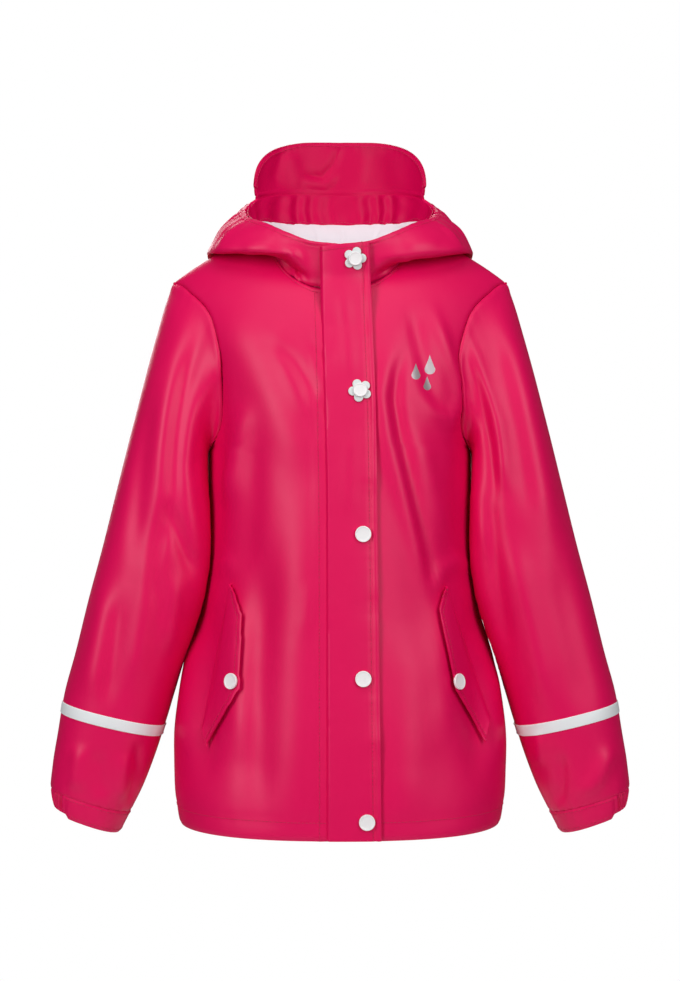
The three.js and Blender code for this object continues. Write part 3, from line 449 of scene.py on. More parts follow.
class Sheet:
    """A grid of points on the outer face of a piece of cloth. Rows run up it, or along a sleeve."""

    def __init__(self, grid, facing, ring=False):
        self.grid = grid
        self.facing = facing
        self.ring = ring
        self.lift = [[0.0] * len(grid[0]) for _ in grid]
        self.turn_out()

    def turn_out(self):
        """Work out the way each point faces."""
        columns = len(self.grid[0])
        sums = [[Vector() for _ in row] for row in self.grid]
        for i in range(len(self.grid) - 1):
            for j in range(columns if self.ring else columns - 1):
                corners = [(i, j), (i, (j + 1) % columns), (i + 1, (j + 1) % columns), (i + 1, j)]
                a, b, c, d = [self.grid[row][column] for row, column in corners]
                quad = (c - a).cross(b - d)
                for row, column in corners:
                    sums[row][column] += quad
        self.faces = [[total.normalized() * self.facing for total in row] for row in sums]

    def from_edge(self, edge):
        """For each point, how far it lies from an edge of the cloth, and how far along that edge."""
        grid = self.grid
        if edge in ("left", "right"):
            grid = [list(column) for column in zip(*grid)]
        if edge in ("top", "right"):
            grid = grid[::-1]
        along = [0.0]
        for a, b in zip(grid[0], grid[0][1:]):
            along.append(along[-1] + (b - a).length)
        places = [[(0.0, s) for s in along]]
        for lower, upper in zip(grid, grid[1:]):
            places.append([(d + (b - a).length, s) for (d, s), a, b in zip(places[-1], lower, upper)])
        if edge in ("top", "right"):
            places = places[::-1]
        if edge in ("left", "right"):
            places = [list(column) for column in zip(*places)]
        return places

    def shape(self, edge, height, until=None):
        """Lift the cloth by a function of the distances from an edge and along it, up to a column."""
        for i, row in enumerate(self.from_edge(edge)):
            for j, (away, along) in enumerate(row):
                share = 1 if until is None else 1 - smooth(j, until - 4, until)
                self.lift[i][j] += height(away, along) * share

    def settle(self):
        """Move each point by its lift, and face it anew."""
        for row, faces, lifts in zip(self.grid, self.faces, self.lift):
            for j, (face, lift) in enumerate(zip(faces, lifts)):
                row[j] = row[j] + face * lift
        self.lift = [[0.0] * len(row) for row in self.grid]
        self.turn_out()

    def line(self, edge, away, start=0.0, end=1.0):
        """Points and faces along the line that runs at a distance from an edge."""
        places = self.from_edge(edge)
        count = len(self.grid[0]) if edge in ("top", "bottom") else len(self.grid)
        found = []
        for k in range(int(start * (count - 1)), int(end * (count - 1)) + 1):
            if edge in ("top", "bottom"):
                cells = [(i, k) for i in range(len(self.grid))]
            else:
                cells = [(k, j) for j in range(len(self.grid[0]))]
            if edge in ("top", "right"):
                cells = cells[::-1]
            for (i0, j0), (i1, j1) in zip(cells, cells[1:]):
                near, far = places[i0][j0][0], places[i1][j1][0]
                if near <= away < far:
                    t = (away - near) / (far - near)
                    point = self.grid[i0][j0].lerp(self.grid[i1][j1], t)
                    found.append((point, self.faces[i0][j0].lerp(self.faces[i1][j1], t).normalized()))
                    break
        if self.ring and edge in ("top", "bottom"):
            found.append(found[0])
        return found


def wave(along, period, phase=0.0):
    """An uneven wave between -1 and 1, as in cloth that a seam draws together."""
    turns = 2 * pi * along / period
    swing = sin(turns + 1.7 * sin(turns / 4.3 + phase) + phase)
    return swing * (0.65 + 0.35 * sin(turns / 7.1 + 2 * phase))


def sewn(phase=0.0, deep=SEAM["deep"], pucker=SEAM["pucker"]):
    """The shape of cloth beside a seam: it dips into the seam and puckers a little along it."""
    return lambda away, along: (
        -deep * exp(-((away / SEAM["wide"]) ** 2))
        + pucker * wave(along, SEAM["period"], phase) * exp(-away / SEAM["reach"])
    )


def stitched(at, phase=0.0, deep=0.4, pucker=0.2):
    """The shape of cloth along a row of topstitching at a distance from its edge."""
    return lambda away, along: (
        -deep * exp(-(((away - at) / 1.1) ** 2)) + pucker * wave(along, 9, phase) * exp(-abs(away - at) / 5)
    )


def select_only(obj):
    bpy.ops.object.select_all(action="DESELECT")
    obj.select_set(True)
    bpy.context.view_layer.objects.active = obj


def cloth(name, sheet, thickness, look, soft_edge=0.4, shift=(0, 0, 0)):
    """The piece itself: the sheet's grid, thickened inwards, with softened cut edges."""
    rows, columns = len(sheet.grid), len(sheet.grid[0])
    across = columns if sheet.ring else columns - 1
    quads = []
    for i in range(rows - 1):
        for j in range(across):
            k = (j + 1) % columns
            quad = (i * columns + j, (i + 1) * columns + j, (i + 1) * columns + k, i * columns + k)
            quads.append(quad if sheet.facing > 0 else quad[::-1])
    mesh = bpy.data.meshes.new(name)
    mesh.from_pydata([(p + Vector(shift)) * MM for row in sheet.grid for p in row], [], quads)
    layer = mesh.uv_layers.new(name="cloth")
    places = [place for row in sheet.from_edge("bottom") for place in row]
    for loop in mesh.loops:
        away, along = places[loop.vertex_index]
        layer.data[loop.index].uv = (along * MM, away * MM)
    mesh.materials.append(look)
    obj = bpy.data.objects.new(name, mesh)
    scene.collection.objects.link(obj)
    select_only(obj)
    solidify = obj.modifiers.new("thickness", "SOLIDIFY")
    solidify.thickness = thickness * MM
    solidify.offset = -1
    bpy.ops.object.modifier_apply(modifier="thickness")
    bevel = obj.modifiers.new("edge", "BEVEL")
    bevel.width = soft_edge * MM
    bevel.segments = 2
    bevel.limit_method = "ANGLE"
    bevel.angle_limit = radians(50)
    bpy.ops.object.modifier_apply(modifier="edge")
    bpy.ops.object.shade_smooth_by_angle(angle=radians(60))
    return obj


def stitches(name, lines, look, lift=0.0):
    """Rows of thread: one small spindle for each stitch, lying along each line of points and faces."""
    points, quads = [], []
    stations = [(-0.5, 0.35), (-0.3, 1), (0.3, 1), (0.5, 0.35)]
    sides = STITCH["sides"]
    for line in lines:
        run = 0.0
        due = STITCH["step"] / 2
        for (a, face_a), (b, face_b) in zip(line, line[1:]):
            long = (b - a).length
            while long > 0 and due <= run + long:
                t = (due - run) / long
                middle = a.lerp(b, t)
                up = face_a.lerp(face_b, t).normalized()
                ahead = (b - a).normalized()
                beside = ahead.cross(up).normalized()
                middle = middle + up * (lift + STITCH["radius"] - STITCH["sunk"])
                first = len(points)
                for place, share in stations:
                    for k in range(sides):
                        angle = 2 * pi * k / sides
                        round_it = beside * cos(angle) + up * sin(angle)
                        drop = up * (0 if share == 1 else -STITCH["radius"] * 0.6)
                        spot = middle + ahead * place * STITCH["long"] + round_it * STITCH["radius"] * share
                        points.append((spot + drop) * MM)
                for ring in range(len(stations) - 1):
                    for k in range(sides):
                        low = first + ring * sides
                        nxt = (k + 1) % sides
                        quads.append((low + k, low + nxt, low + sides + nxt, low + sides + k))
                quads.append(tuple(first + k for k in reversed(range(sides))))
                quads.append(tuple(first + 3 * sides + k for k in range(sides)))
                due += STITCH["step"]
            run += long
    mesh = bpy.data.meshes.new(name)
    mesh.from_pydata(points, [], quads)
    mesh.materials.append(look)
    mesh.shade_smooth()
    obj = bpy.data.objects.new(name, mesh)
    scene.collection.objects.link(obj)
    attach(obj, "root")
    return obj


# light and deep are two tones of the cloth's own pink, mixed at random. The second, darker pair is painted
# shade: a darker copy of the same pink for the peak and the hood band, which lie in shadow.
PINK = {
    "light": colour(231, 0, 90), "deep": colour(222, 0, 83), "painted_shade_light": colour(212, 0, 78),
    "painted_shade_deep": colour(200, 0, 71), "thread": colour(205, 30, 84),
}
SATIN = {"least": 0.4, "patchy": 0.08}  # roughness of the coating, and how much rougher it is in patches
GRAIN = {"scale": 1500, "strength": 0.05, "distance": 0.0002}
SOFT_WRINKLES = {"scale": 26, "detail": 3, "strength": 0.22, "distance": 0.0016}


def coated_cloth(name, light="light", deep="deep", shine=0.31):
    """Soft pink coating with a satin sheen, a fine grain and faint soft unevenness."""
    made, shader, value = material(name, Roughness=0.42)
    shader.inputs["Specular IOR Level"].default_value = shine
    place = value.node("ShaderNodeTexCoord", {}, output=3)
    cloudy = value.node("ShaderNodeTexNoise", {"Vector": place, "Scale": 9, "Detail": 2})
    tint = value.node(
        "ShaderNodeMix", {"Factor": cloudy, 6: PINK[light], 7: PINK[deep]}, output=2, data_type="RGBA"
    )
    made.node_tree.links.new(tint.socket, shader.inputs["Base Color"])
    patchy = value.node("ShaderNodeTexNoise", {"Vector": place, "Scale": 55, "Detail": 3})
    rough = patchy * SATIN["patchy"] + SATIN["least"]
    made.node_tree.links.new(rough.socket, shader.inputs["Roughness"])
    wrinkled = value.node(
        "ShaderNodeTexNoise",
        {"Vector": place, "Scale": SOFT_WRINKLES["scale"], "Detail": SOFT_WRINKLES["detail"]},
    )
    grainy = value.node("ShaderNodeTexNoise", {"Vector": place, "Scale": GRAIN["scale"], "Detail": 2})
    soft = value.node(
        "ShaderNodeBump",
        {"Strength": SOFT_WRINKLES["strength"], "Distance": SOFT_WRINKLES["distance"], "Height": wrinkled},
    )
    fine = value.node(
        "ShaderNodeBump",
        {"Strength": GRAIN["strength"], "Distance": GRAIN["distance"], "Height": grainy, "Normal": soft},
    )
    made.node_tree.links.new(fine.socket, shader.inputs["Normal"])
    return made, shader, value, tint


pink, *_ = coated_cloth("pink_coated_cloth")
# A darker, less shiny copy of the coated cloth for the peak and the hood band. Its darker pink is painted
# shade, not a different cloth.
painted_shade_pink, *_ = coated_cloth("pink_coated_cloth_painted_shade", "painted_shade_light", "painted_shade_deep", shine=0.1)
thread, *_ = material("pink_thread", Base_Color=PINK["thread"], Roughness=0.6)

# The print on the left chest is a small group of silver-grey reflective raindrops.
DROPS = [
    {"x": 69, "z": -137, "half": 4.2},
    {"x": 82, "z": -131, "half": 5},
    {"x": 79.5, "z": -147, "half": 3.6},
]
DROP_TALL = 2.6  # height of a drop's point above its middle, in halves of its width
DROP_TAPER = 1.15
DROP_METAL = 0.5
DROP_GREY = colour(178, 166, 170)
printed, printed_shader, value, tint = coated_cloth("pink_coated_cloth_printed")
place = value.node("ShaderNodeTexCoord", {}, output=3)
spread = {}
for axis, output in (("x", 0), ("y", 1), ("z", 2)):
    spread[axis] = value.node("ShaderNodeSeparateXYZ", {"Vector": place}, output=output) / MM
mask = None
for drop in DROPS:
    across = (spread["x"] - drop["x"]) / drop["half"]
    up = (spread["z"] - drop["z"]) / drop["half"]
    above = value.maths("MAXIMUM", up, 0.0) / DROP_TALL
    below = value.maths("MINIMUM", up, 0.0)
    taper = value.maths("POWER", value.maths("MAXIMUM", 1 - above, 0.0), DROP_TAPER)
    round_off = value.maths("SQRT", value.maths("MAXIMUM", 1 - below * below, 0.0))
    width = value.maths("MULTIPLY", taper, round_off)
    inside = value.maths("LESS_THAN", value.maths("ABSOLUTE", across), width)
    mask = inside if mask is None else value.maths("MAXIMUM", mask, inside)
in_front = value.maths("LESS_THAN", spread["y"], 0.0)
mask = mask * in_front
shown = value.node(
    "ShaderNodeMix", {"Factor": mask, 6: tint, 7: DROP_GREY}, output=2, data_type="RGBA"
)
printed.node_tree.links.new(shown.socket, printed_shader.inputs["Base Color"])
printed.node_tree.links.new((mask * DROP_METAL).socket, printed_shader.inputs["Metallic"])


def strip_beside_flap(away, along):
    """The front is sewn down beside the storm flap, in a narrow raised strip between two grooves."""
    rises = smooth(away, CENTRE_FRONT_IN, CENTRE_FRONT_IN + 1.5)
    strip = rises * (1 - smooth(away, STRIP_OUT - 1.5, STRIP_OUT))
    seam = exp(-(((away - CENTRE_FRONT_IN + 0.3) / 1.1) ** 2))
    return 0.9 * strip - 1.2 * seam - 0.5 * exp(-(((away - STRIP_OUT) / 1) ** 2))


back_halves = {side: panel_grid(BACK, side) for side in (RIGHT, LEFT)}
whole_back = [row[::-1] + other[1:] for row, other in zip(back_halves[RIGHT], back_halves[LEFT])]
fronts = {side: Sheet(panel_grid(FRONT, side), -side) for side in (RIGHT, LEFT)}
panels = {"front_right": fronts[RIGHT], "front_left": fronts[LEFT], "back": Sheet(whole_back, 1)}
for name, sheet in panels.items():
    sheet.shape("bottom", stitched(HEM_UP, phase=2.0, deep=0.5, pucker=0.35))
    sheet.shape("bottom", lambda away, along: -1.2 * exp(-((away / 2.2) ** 2)))
    sheet.shape("right", sewn(phase=0.7 if name == "front_right" else 1.9))
    if name != "back":
        groove = stitched(NECK_SEAM["stitch"], phase=0.2, deep=0.5, pucker=0.15)
        sheet.shape("top", sewn(phase=1.3), until=NECK_SEAM["puckers_until"])
        sheet.shape("top", groove, until=NECK_SEAM["groove_until"])
    if name == "front_right":
        sheet.shape("left", strip_beside_flap)
    if name == "back":
        sheet.shape("left", sewn(phase=2.6))
    sheet.settle()

for name, sheet in panels.items():
    piece = cloth(f"{name}_cloth", sheet, CLOTH, printed if name == "front_left" else pink)
    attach(piece, "root")
    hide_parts(name)
    rows_of_thread = [sheet.line("bottom", HEM_UP)]
    if name == "front_right":
        rows_of_thread.append(sheet.line("left", STRIP_OUT - STRIP_STITCH["away"], end=STRIP_STITCH["end"]))
    if name != "back":
        rows_of_thread.append(sheet.line("top", NECK_SEAM["stitch"], end=NECK_SEAM["stitch_end"]))
    sewing = stitches(f"{name}_topstitching", rows_of_thread, thread)

# Sleeves
# Each sleeve is one panel of the same coated cloth, seamed under the arm and set into the armhole. It hangs
# free, bends a little at the elbow, and creases where it drops from the armhole and above the cuff.
SLEEVE = [
    {"outX": 158, "outZ": -45, "inX": 124, "inZ": -205, "front": 68, "back": 57},
    {"outX": 166, "outZ": -68, "inX": 126.5, "inZ": -209, "front": 67, "back": 58},
    {"outX": 174, "outZ": -97, "inX": 126.5, "inZ": -215, "front": 66, "back": 58},
    {"outX": 182, "outZ": -128, "inX": 123.5, "inZ": -224, "front": 66, "back": 57},
    {"outX": 190, "outZ": -160, "inX": 119.5, "inZ": -238, "front": 66, "back": 56},
    {"outX": 200, "outZ": -200, "inX": 114, "inZ": -264, "front": 67, "back": 53},
    {"outX": 211, "outZ": -245, "inX": 113, "inZ": -298, "front": 68, "back": 49},
    {"outX": 223, "outZ": -294, "inX": 119, "inZ": -335, "front": 68, "back": 45},
    {"outX": 236, "outZ": -343, "inX": 133, "inZ": -374, "front": 67, "back": 41},
    {"outX": 248, "outZ": -392, "inX": 151, "inZ": -417, "front": 66, "back": 38},
    {"outX": 259, "outZ": -433, "inX": 163, "inZ": -456, "front": 64, "back": 35},
    {"outX": 265, "outZ": -468, "inX": 174, "inZ": -490, "front": 60, "back": 32},
    {"outX": 270, "outZ": -498, "inX": 186, "inZ": -521, "front": 56, "back": 29},
    {"outX": 272, "outZ": -520, "inX": 197, "inZ": -543, "front": 52, "back": 26},
    {"outX": 270, "outZ": -541, "inX": 207, "inZ": -563, "front": 48, "back": 23},
]
CUFF_SEAM = len(SLEEVE) - 2
SLEEVE_SQUARE = 2.4
CAP = 5
SLEEVE_CLEAR = 3.5
SLEEVE_OUT = 0.2  # how far each sleeve is moved outwards, clear of the panels that it is sewn to
SLEEVE_ROWS = 16
ALLOWANCE = 4
FOLDS_CLEAR_SIDE = 1.6
SLEEVE_FRONT_FOLDS = {
    RIGHT: [
        {"along": [(-147, -75), (-157, -128), (-162, -179), (-165, -230), (-170, -275)],
         "wide": 8.5, "high": 3},
        {"along": [(-149, -135), (-151, -200), (-152, -250)], "wide": 7, "high": -2.6},
        {"along": [(-139, -160), (-143, -222), (-138, -256), (-128, -302)], "wide": 8, "high": 3},
        {"along": [(-133, -185), (-131, -228)], "wide": 5, "high": -1.6},
        {"along": [(-123, -122), (-126, -162), (-121, -183), (-124, -214)], "wide": 6, "high": 2.6},
        {"along": [(-176, -150), (-184, -220), (-190, -300)], "wide": 9, "high": -3},
        {"along": [(-158, -254), (-146, -290), (-134, -320)], "wide": 6, "high": -4},
        {"along": [(-159, -256), (-168, -300), (-172, -345)], "wide": 6, "high": -3},
        {"along": [(-166, -290), (-182, -360), (-190, -420)], "wide": 10, "high": 3.5},
        {"along": [(-150, -320), (-158, -390)], "wide": 8, "high": 3},
        {"along": [(-214, -330), (-232, -430)], "wide": 11, "high": 3},
        {"along": [(-203, -340), (-215, -440)], "wide": 8, "high": -3},
        {"along": [(-187, -476), (-187, -504), (-190, -518), (-196, -534)], "wide": 5, "high": -4},
        {"along": [(-199, -486), (-205, -530)], "wide": 6, "high": 3},
        {"along": [(-224, -484), (-220, -524)], "wide": 6, "high": -2.4},
        {"along": [(-240, -478), (-245, -520)], "wide": 8, "high": 3},
    ],
    LEFT: [
        {"along": [(119, -158), (128, -163), (135, -177), (140, -205), (142, -250)],
         "wide": 4.5, "high": -3.6},
        {"along": [(124, -146), (138, -158), (147, -185), (150, -240)], "wide": 6, "high": 3.6},
        {"along": [(120, -182), (127, -230), (133, -300)], "wide": 7, "high": 3.4},
        {"along": [(135, -235), (144, -330), (156, -400)], "wide": 8, "high": -4},
        {"along": [(160, -90), (180, -190), (196, -290)], "wide": 12, "high": 3.6},
        {"along": [(150, -110), (164, -190), (174, -260)], "wide": 9, "high": -2.6},
        {"along": [(158, -290), (176, -370), (190, -440)], "wide": 10, "high": 3.4},
        {"along": [(200, -310), (218, -400), (226, -450)], "wide": 12, "high": -2.6},
        {"along": [(184, -466), (185, -497)], "wide": 5, "high": 3},
        {"along": [(204, -486), (205, -513), (203, -534)], "wide": 5, "high": -4},
        {"along": [(252, -480), (236, -510), (223, -526)], "wide": 8, "high": 3.6},
    ],
}
SLEEVE_BACK_FOLDS = [
    {"along": [(150, -100), (168, -260)], "wide": 11, "high": 4},
    {"along": [(172, -120), (190, -260)], "wide": 9, "high": -3},
    {"along": [(136, -215), (178, -300)], "wide": 11, "high": -3},
    {"along": [(190, -290), (222, -420)], "wide": 14, "high": 3},
    {"along": [(206, -470), (224, -525)], "wide": 9, "high": -3},
]
sleeve_at = curves([{"section": k, **row} for k, row in enumerate(SLEEVE)], "section")


def tube_middle(side, section):
    row = sleeve_at(section)
    return Vector((side * (row["inX"] + row["outX"]) / 2, (row["back"] - row["front"]) / 2,
                   (row["inZ"] + row["outZ"]) / 2))


def tube_point(side, section, around):
    """A point of a sleeve's tube, at a share of the way round from its outermost point by the front."""
    row = sleeve_at(section)
    angle = 2 * pi * around

    def bulge(value):
        return (1 if value > 0 else -1) * abs(value) ** (2 / SLEEVE_SQUARE)

    outer = (bulge(cos(angle)) + 1) / 2
    forward = bulge(sin(angle))
    middle = tube_middle(side, section)
    y = middle.y - forward * (row["front"] + row["back"]) / 2
    point = Vector((side * mix(row["inX"], row["outX"], outer), y, mix(row["inZ"], row["outZ"], outer)))
    folds = SLEEVE_FRONT_FOLDS[side] if forward > 0 else SLEEVE_BACK_FOLDS
    lift = fold_height(folds, point.x if forward > 0 else side * point.x, point.z)
    return point + (point - middle).normalized() * (lift * min(1, abs(forward) * FOLDS_CLEAR_SIDE))


def body_side(y, z):
    half, depth, square = body_at(FRONT if y < 0 else BACK, max(ARMPIT, -z))
    return half * (1 - min(1, abs(y) / depth) ** square) ** (1 / square)


def sleeve_grid(side):
    first = len(between((BODY_ROWS, 6), finer_start=3)) - 1
    heights = [0.0] + between((ARM_ROWS, 4), finer_end=2)[1:]
    front_edge = [row[-1] for row in unsewn_fronts[side][first:]]
    back_edge = [row[-1] for row in back_halves[side][first:]]
    loop = [(edge, (ARM_ROWS - t) / ARM_ROWS / 2) for edge, t in zip(front_edge[::-1], heights[::-1])]
    loop += [(edge, (ARM_ROWS + t) / ARM_ROWS / 2) for edge, t in zip(back_edge[1:-1], heights[1:-1])]
    rows = []
    for t in between((SLEEVE_ROWS, 6), finer_start=3, finer_end=3):
        section = t / SLEEVE_ROWS * CUFF_SEAM
        cap = max(0, 1 - section / CAP) ** 2
        row = []
        for edge, around in loop:
            point = tube_point(side, section, around) + (edge - tube_point(side, 0, around)) * cap
            clear = body_side(point.y, point.z) + SLEEVE_CLEAR * (1 - cap)
            if point.z < -ARMPIT and abs(point.x) < clear:
                point.x = side * clear
            row.append(point)
        rows.append(row)
    return rows


unsewn_fronts = {side: panel_grid(FRONT, side) for side in (RIGHT, LEFT)}
unsewn_faces = {}
sleeves = {}
for side in (RIGHT, LEFT):
    sheet = Sheet(sleeve_grid(side), -side, ring=True)
    unsewn_faces[side] = sheet.faces[0]
    sheet.shape("bottom", sewn(phase=1.1 * side, pucker=0.4))
    sheet.shape("bottom", lambda away, along: 0.5 * exp(-(((away - 5) / 4) ** 2)))
    sheet.shape("top", sewn(phase=0.4, deep=0.5, pucker=0.45))
    sheet.settle()
    turned_in = [p - n * ALLOWANCE for p, n in zip(sheet.grid[0], unsewn_faces[side])]
    sheet.grid.insert(0, turned_in)
    sheet.lift.insert(0, list(sheet.lift[0]))
    sheet.turn_out()
    sleeves[side] = sheet
    name = f"sleeve_{SIDE[side]}"
    piece = cloth(f"{name}_cloth", sheet, CLOTH, pink, shift=(side * SLEEVE_OUT, 0, 0))
    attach(piece, "root")
    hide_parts(name)

# Cuffs
# A band of the coated cloth closes each sleeve. Elastic inside its outer and back part gathers it.
CUFF_GATHERS = {"from": 0.74, "to": 1.19, "count": 14, "deep": 2.6, "up": 3.6}
CUFF_COLUMNS = 180
CUFF_DOWN = 0.3
CUFF_STITCH = {"top": 3, "hem": 3.2}


def cuff_grid(side):
    rows = []
    for t in between((1, 12), finer_start=2, finer_end=2):
        row = []
        for k in range(CUFF_COLUMNS):
            around = k / CUFF_COLUMNS
            point = tube_point(side, CUFF_SEAM + t, around)
            low, high = CUFF_GATHERS["from"], CUFF_GATHERS["to"]
            within = clamp(((around + 1 if around < high - 1 else around) - low) / (high - low), 0, 1)
            held = smooth(within, 0, 0.15) * (1 - smooth(within, 0.85, 1)) * CUFF_GATHERS["deep"]
            ripple = sin(2 * pi * CUFF_GATHERS["count"] * within + 1.3 * sin(9 * within) + 0.7 * t)
            outwards = (point - tube_middle(side, CUFF_SEAM + t)).normalized()
            up = CUFF_GATHERS["up"] * t * smooth(within, 0, 0.06) * (1 - smooth(within, 0.95, 1))
            bulging = held * (ripple - 1) * (0.35 + 0.65 * sin(pi * t))
            row.append(point + Vector((0, 0, up)) + outwards * bulging)
        rows.append(row)
    return rows


for side in (RIGHT, LEFT):
    sheet = Sheet(cuff_grid(side), -side, ring=True)
    sheet.shape("bottom", sewn(phase=0.9, deep=0.5, pucker=0.3))
    sheet.shape("top", lambda away, along: -0.9 * exp(-((away / 1.6) ** 2)))
    sheet.shape("top", stitched(CUFF_STITCH["hem"], phase=1.4, deep=0.35, pucker=0.15))
    sheet.settle()
    name = f"cuff_{SIDE[side]}"
    piece = cloth(f"{name}_cloth", sheet, CLOTH, pink, shift=(side * SLEEVE_OUT, 0, -CUFF_DOWN))
    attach(piece, "root")
    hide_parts(name)
    stitch_lines = [sheet.line("top", CUFF_STITCH["hem"]), sheet.line("bottom", CUFF_STITCH["top"])]
    sewing = stitches(f"{name}_topstitching", stitch_lines, thread)

# Reflective tapes
# A silver-grey glass-bead tape, ten millimetres wide, is stitched round each sleeve above the cuff.
TAPE = {"section": 10.3, "half": 5, "thick": 0.6, "out": 0.25}
silver, silver_shader, value = material("reflective_tape", Base_Color=colour(238, 241, 243), Roughness=0.5)
place = value.node("ShaderNodeTexCoord", {}, output=3)
beads = value.node("ShaderNodeTexVoronoi", {"Vector": place, "Scale": 1400})
bumpy = value.node("ShaderNodeBump", {"Strength": 0.25, "Distance": 0.0002, "Height": beads})
silver.node_tree.links.new(bumpy.socket, silver_shader.inputs["Normal"])


def row_between(sheet, at):
    i = int(at)
    pairs = zip(sheet.grid[i], sheet.grid[i + 1], sheet.faces[i], sheet.faces[i + 1])
    return [(p.lerp(q, at - i), m.lerp(n, at - i).normalized()) for p, q, m, n in pairs]


sleeve_steps = between((SLEEVE_ROWS, 6), finer_start=3, finer_end=3)
for side in (RIGHT, LEFT):
    here, after = sleeve_at(TAPE["section"]), sleeve_at(TAPE["section"] + 1)
    per_section = hypot(after["outX"] - here["outX"], after["outZ"] - here["outZ"])
    rows = []
    for share in (-1, -0.6, -0.2, 0.2, 0.6, 1):
        step = (TAPE["section"] + share * TAPE["half"] / per_section) / CUFF_SEAM * SLEEVE_ROWS
        i = max(k for k, at in enumerate(sleeve_steps) if at <= step)
        at = 1 + i + (step - sleeve_steps[i]) / (sleeve_steps[i + 1] - sleeve_steps[i])
        rows.append([p + n * (TAPE["out"] + TAPE["thick"] - 0.25 * abs(share) ** 6)
                     for p, n in row_between(sleeves[side], at)])
    sheet = Sheet(rows, -side, ring=True)
    name = f"reflective_tape_{SIDE[side]}"
    shift = (side * SLEEVE_OUT, 0, 0)
    piece = cloth(f"{name}_strip", sheet, TAPE["thick"], silver, soft_edge=0.15, shift=shift)
    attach(piece, "root")
    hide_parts(name)
    sewing = stitches(f"{name}_stitching", [sheet.line("top", 1), sheet.line("bottom", 1)], silver, lift=-0.1)

# Hood
# Two halves of coated cloth, sewn together down the middle and to the neck. The hood lies back, so its front
# stands up round the neck, its sides roll outwards and its back sags in a soft bag behind the shoulders.
HOOD_SEAM = 0.3
HOOD = [
    {"turn": 0, "bend": (67.5, -49), "low": (69.5, -40), "out": (71.5, -32),
     "top": (73, -24), "rim": (74, -17), "band": 0},
    {"turn": 20, "bend": (68.5, -47), "low": (70.5, -39), "out": (72, -30),
     "top": (73.5, -21), "rim": (75, -14), "band": 0},
    {"turn": 38, "bend": (72, -38), "low": (80, -36), "out": (85, -28),
     "top": (83, -14), "rim": (80, -5), "band": 0},
    {"turn": 55, "bend": (78, -24), "low": (97, -32), "out": (103, -24),
     "top": (95, -6), "rim": (84, 5), "band": 8},
    {"turn": 73, "bend": (84, -7), "low": (114, -22), "out": (121, -19),
     "top": (106, 2), "rim": (89, 13), "band": 11},
    {"turn": 90, "bend": (88, 3), "low": (120, -16), "out": (126.5, -18),
     "top": (109, 8), "rim": (92, 22), "band": 11},
    {"turn": 105, "bend": (86, 5), "low": (122, -24), "out": (129.5, -22),
     "top": (111, 11), "rim": (94, 31), "band": 15},
    {"turn": 120, "bend": (83, 1), "low": (123, -44), "out": (135, -34),
     "top": (119, 12), "rim": (92, 42), "band": 22},
    {"turn": 140, "bend": (80, -6), "low": (119, -78), "out": (138, -58),
     "top": (122, 8), "rim": (89, 48), "band": 28},
    {"turn": 160, "bend": (79, -12), "low": (113, -100), "out": (139, -72),
     "top": (124, 4), "rim": (88, 50), "band": 29},
    {"turn": 180, "bend": (79, -14), "low": (111, -107), "out": (139, -76),
     "top": (125, 2), "rim": (88, 50), "band": 29},
]
STATIONS = ("bend", "low", "out", "top", "rim")
CURL = [(-1.6, 0.9), (-3.0, 0.2), (-3.6, -2.2)]  # how the hood's edge turns in over the rim, out and up
BUNCHES = {"from": 68, "to": 132, "count": 8, "deep": 8, "start": 0.5}
ROLL_UP = {RIGHT: 10, LEFT: 5}  # how far the rolled sides are lifted off the chest, next to the stand
HOOD_FOLDS = [
    {"along": [(-47, -18), (-41, -36), (-42, -48), (-52, -51)], "wide": 2.8, "high": 2.6},
    {"along": [(-38.5, -36), (-38, -50)], "wide": 2, "high": -1},
    {"along": [(-43, -18), (-35.5, -38), (-34, -52)], "wide": 2.6, "high": 2.2},
    {"along": [(-50, -32), (-50, -43)], "wide": 4, "high": -0.8},
    {"along": [(-60, -14), (-90, -20)], "wide": 7, "high": 1.6},
    {"along": [(40, -45), (54, -38), (66, -30)], "wide": 4, "high": 2},
    {"along": [(36, -52), (52, -46)], "wide": 3.5, "high": -1.6},
    {"along": [(60, -16), (92, -12)], "wide": 7, "high": 1.6},
]
HOOD_ROWS = 46
HOOD_COLUMNS = {"front": 44, "back": 90}
HOOD_CENTRE_TURNS = [179.4, 179.75, 180]
HOOD_CLOTH = 1.2
HOOD_STITCH = {"rim": 9, "centre": 3.5}
hood_table = []
for row in HOOD:
    flat_row = {"turn": row["turn"], "band": row["band"]}
    for station in STATIONS:
        flat_row[station + "R"], flat_row[station + "Z"] = row[station]
    hood_table.append(flat_row)
hood_at = curves(hood_table, "turn")


def on_neck(name):
    """How many of a panel's columns end on the neck seam."""
    columns = between((NECK_COLUMNS[name] + SHOULDER_COLUMNS, 3))
    return sum(1 for k in columns if k <= NECK_COLUMNS[name])


def neck_line(side):
    front_edge = unsewn_fronts[side][-1][:on_neck("front")]
    back_edge = back_halves[side][-1][:on_neck("back")]
    edge = front_edge + back_edge[::-1][1:]
    return [(degrees(atan2(side * p.x, -p.y)), hypot(p.x, p.y), p.z) for p in edge]


neck = {side: neck_line(side) for side in (RIGHT, LEFT)}


def neck_at(side, turn):
    rows = neck[side]
    i = clamp(sum(1 for row in rows if row[0] <= turn) - 1, 0, len(rows) - 2)
    (turn_a, r_a, z_a), (turn_b, r_b, z_b) = rows[i], rows[i + 1]
    t = clamp((turn - turn_a) / (turn_b - turn_a), 0, 1)
    return mix(r_a, r_b, t), mix(z_a, z_b, t)


def polar(side, turn, r, z):
    return Vector((side * r * sin(radians(turn)), -r * cos(radians(turn)), z))


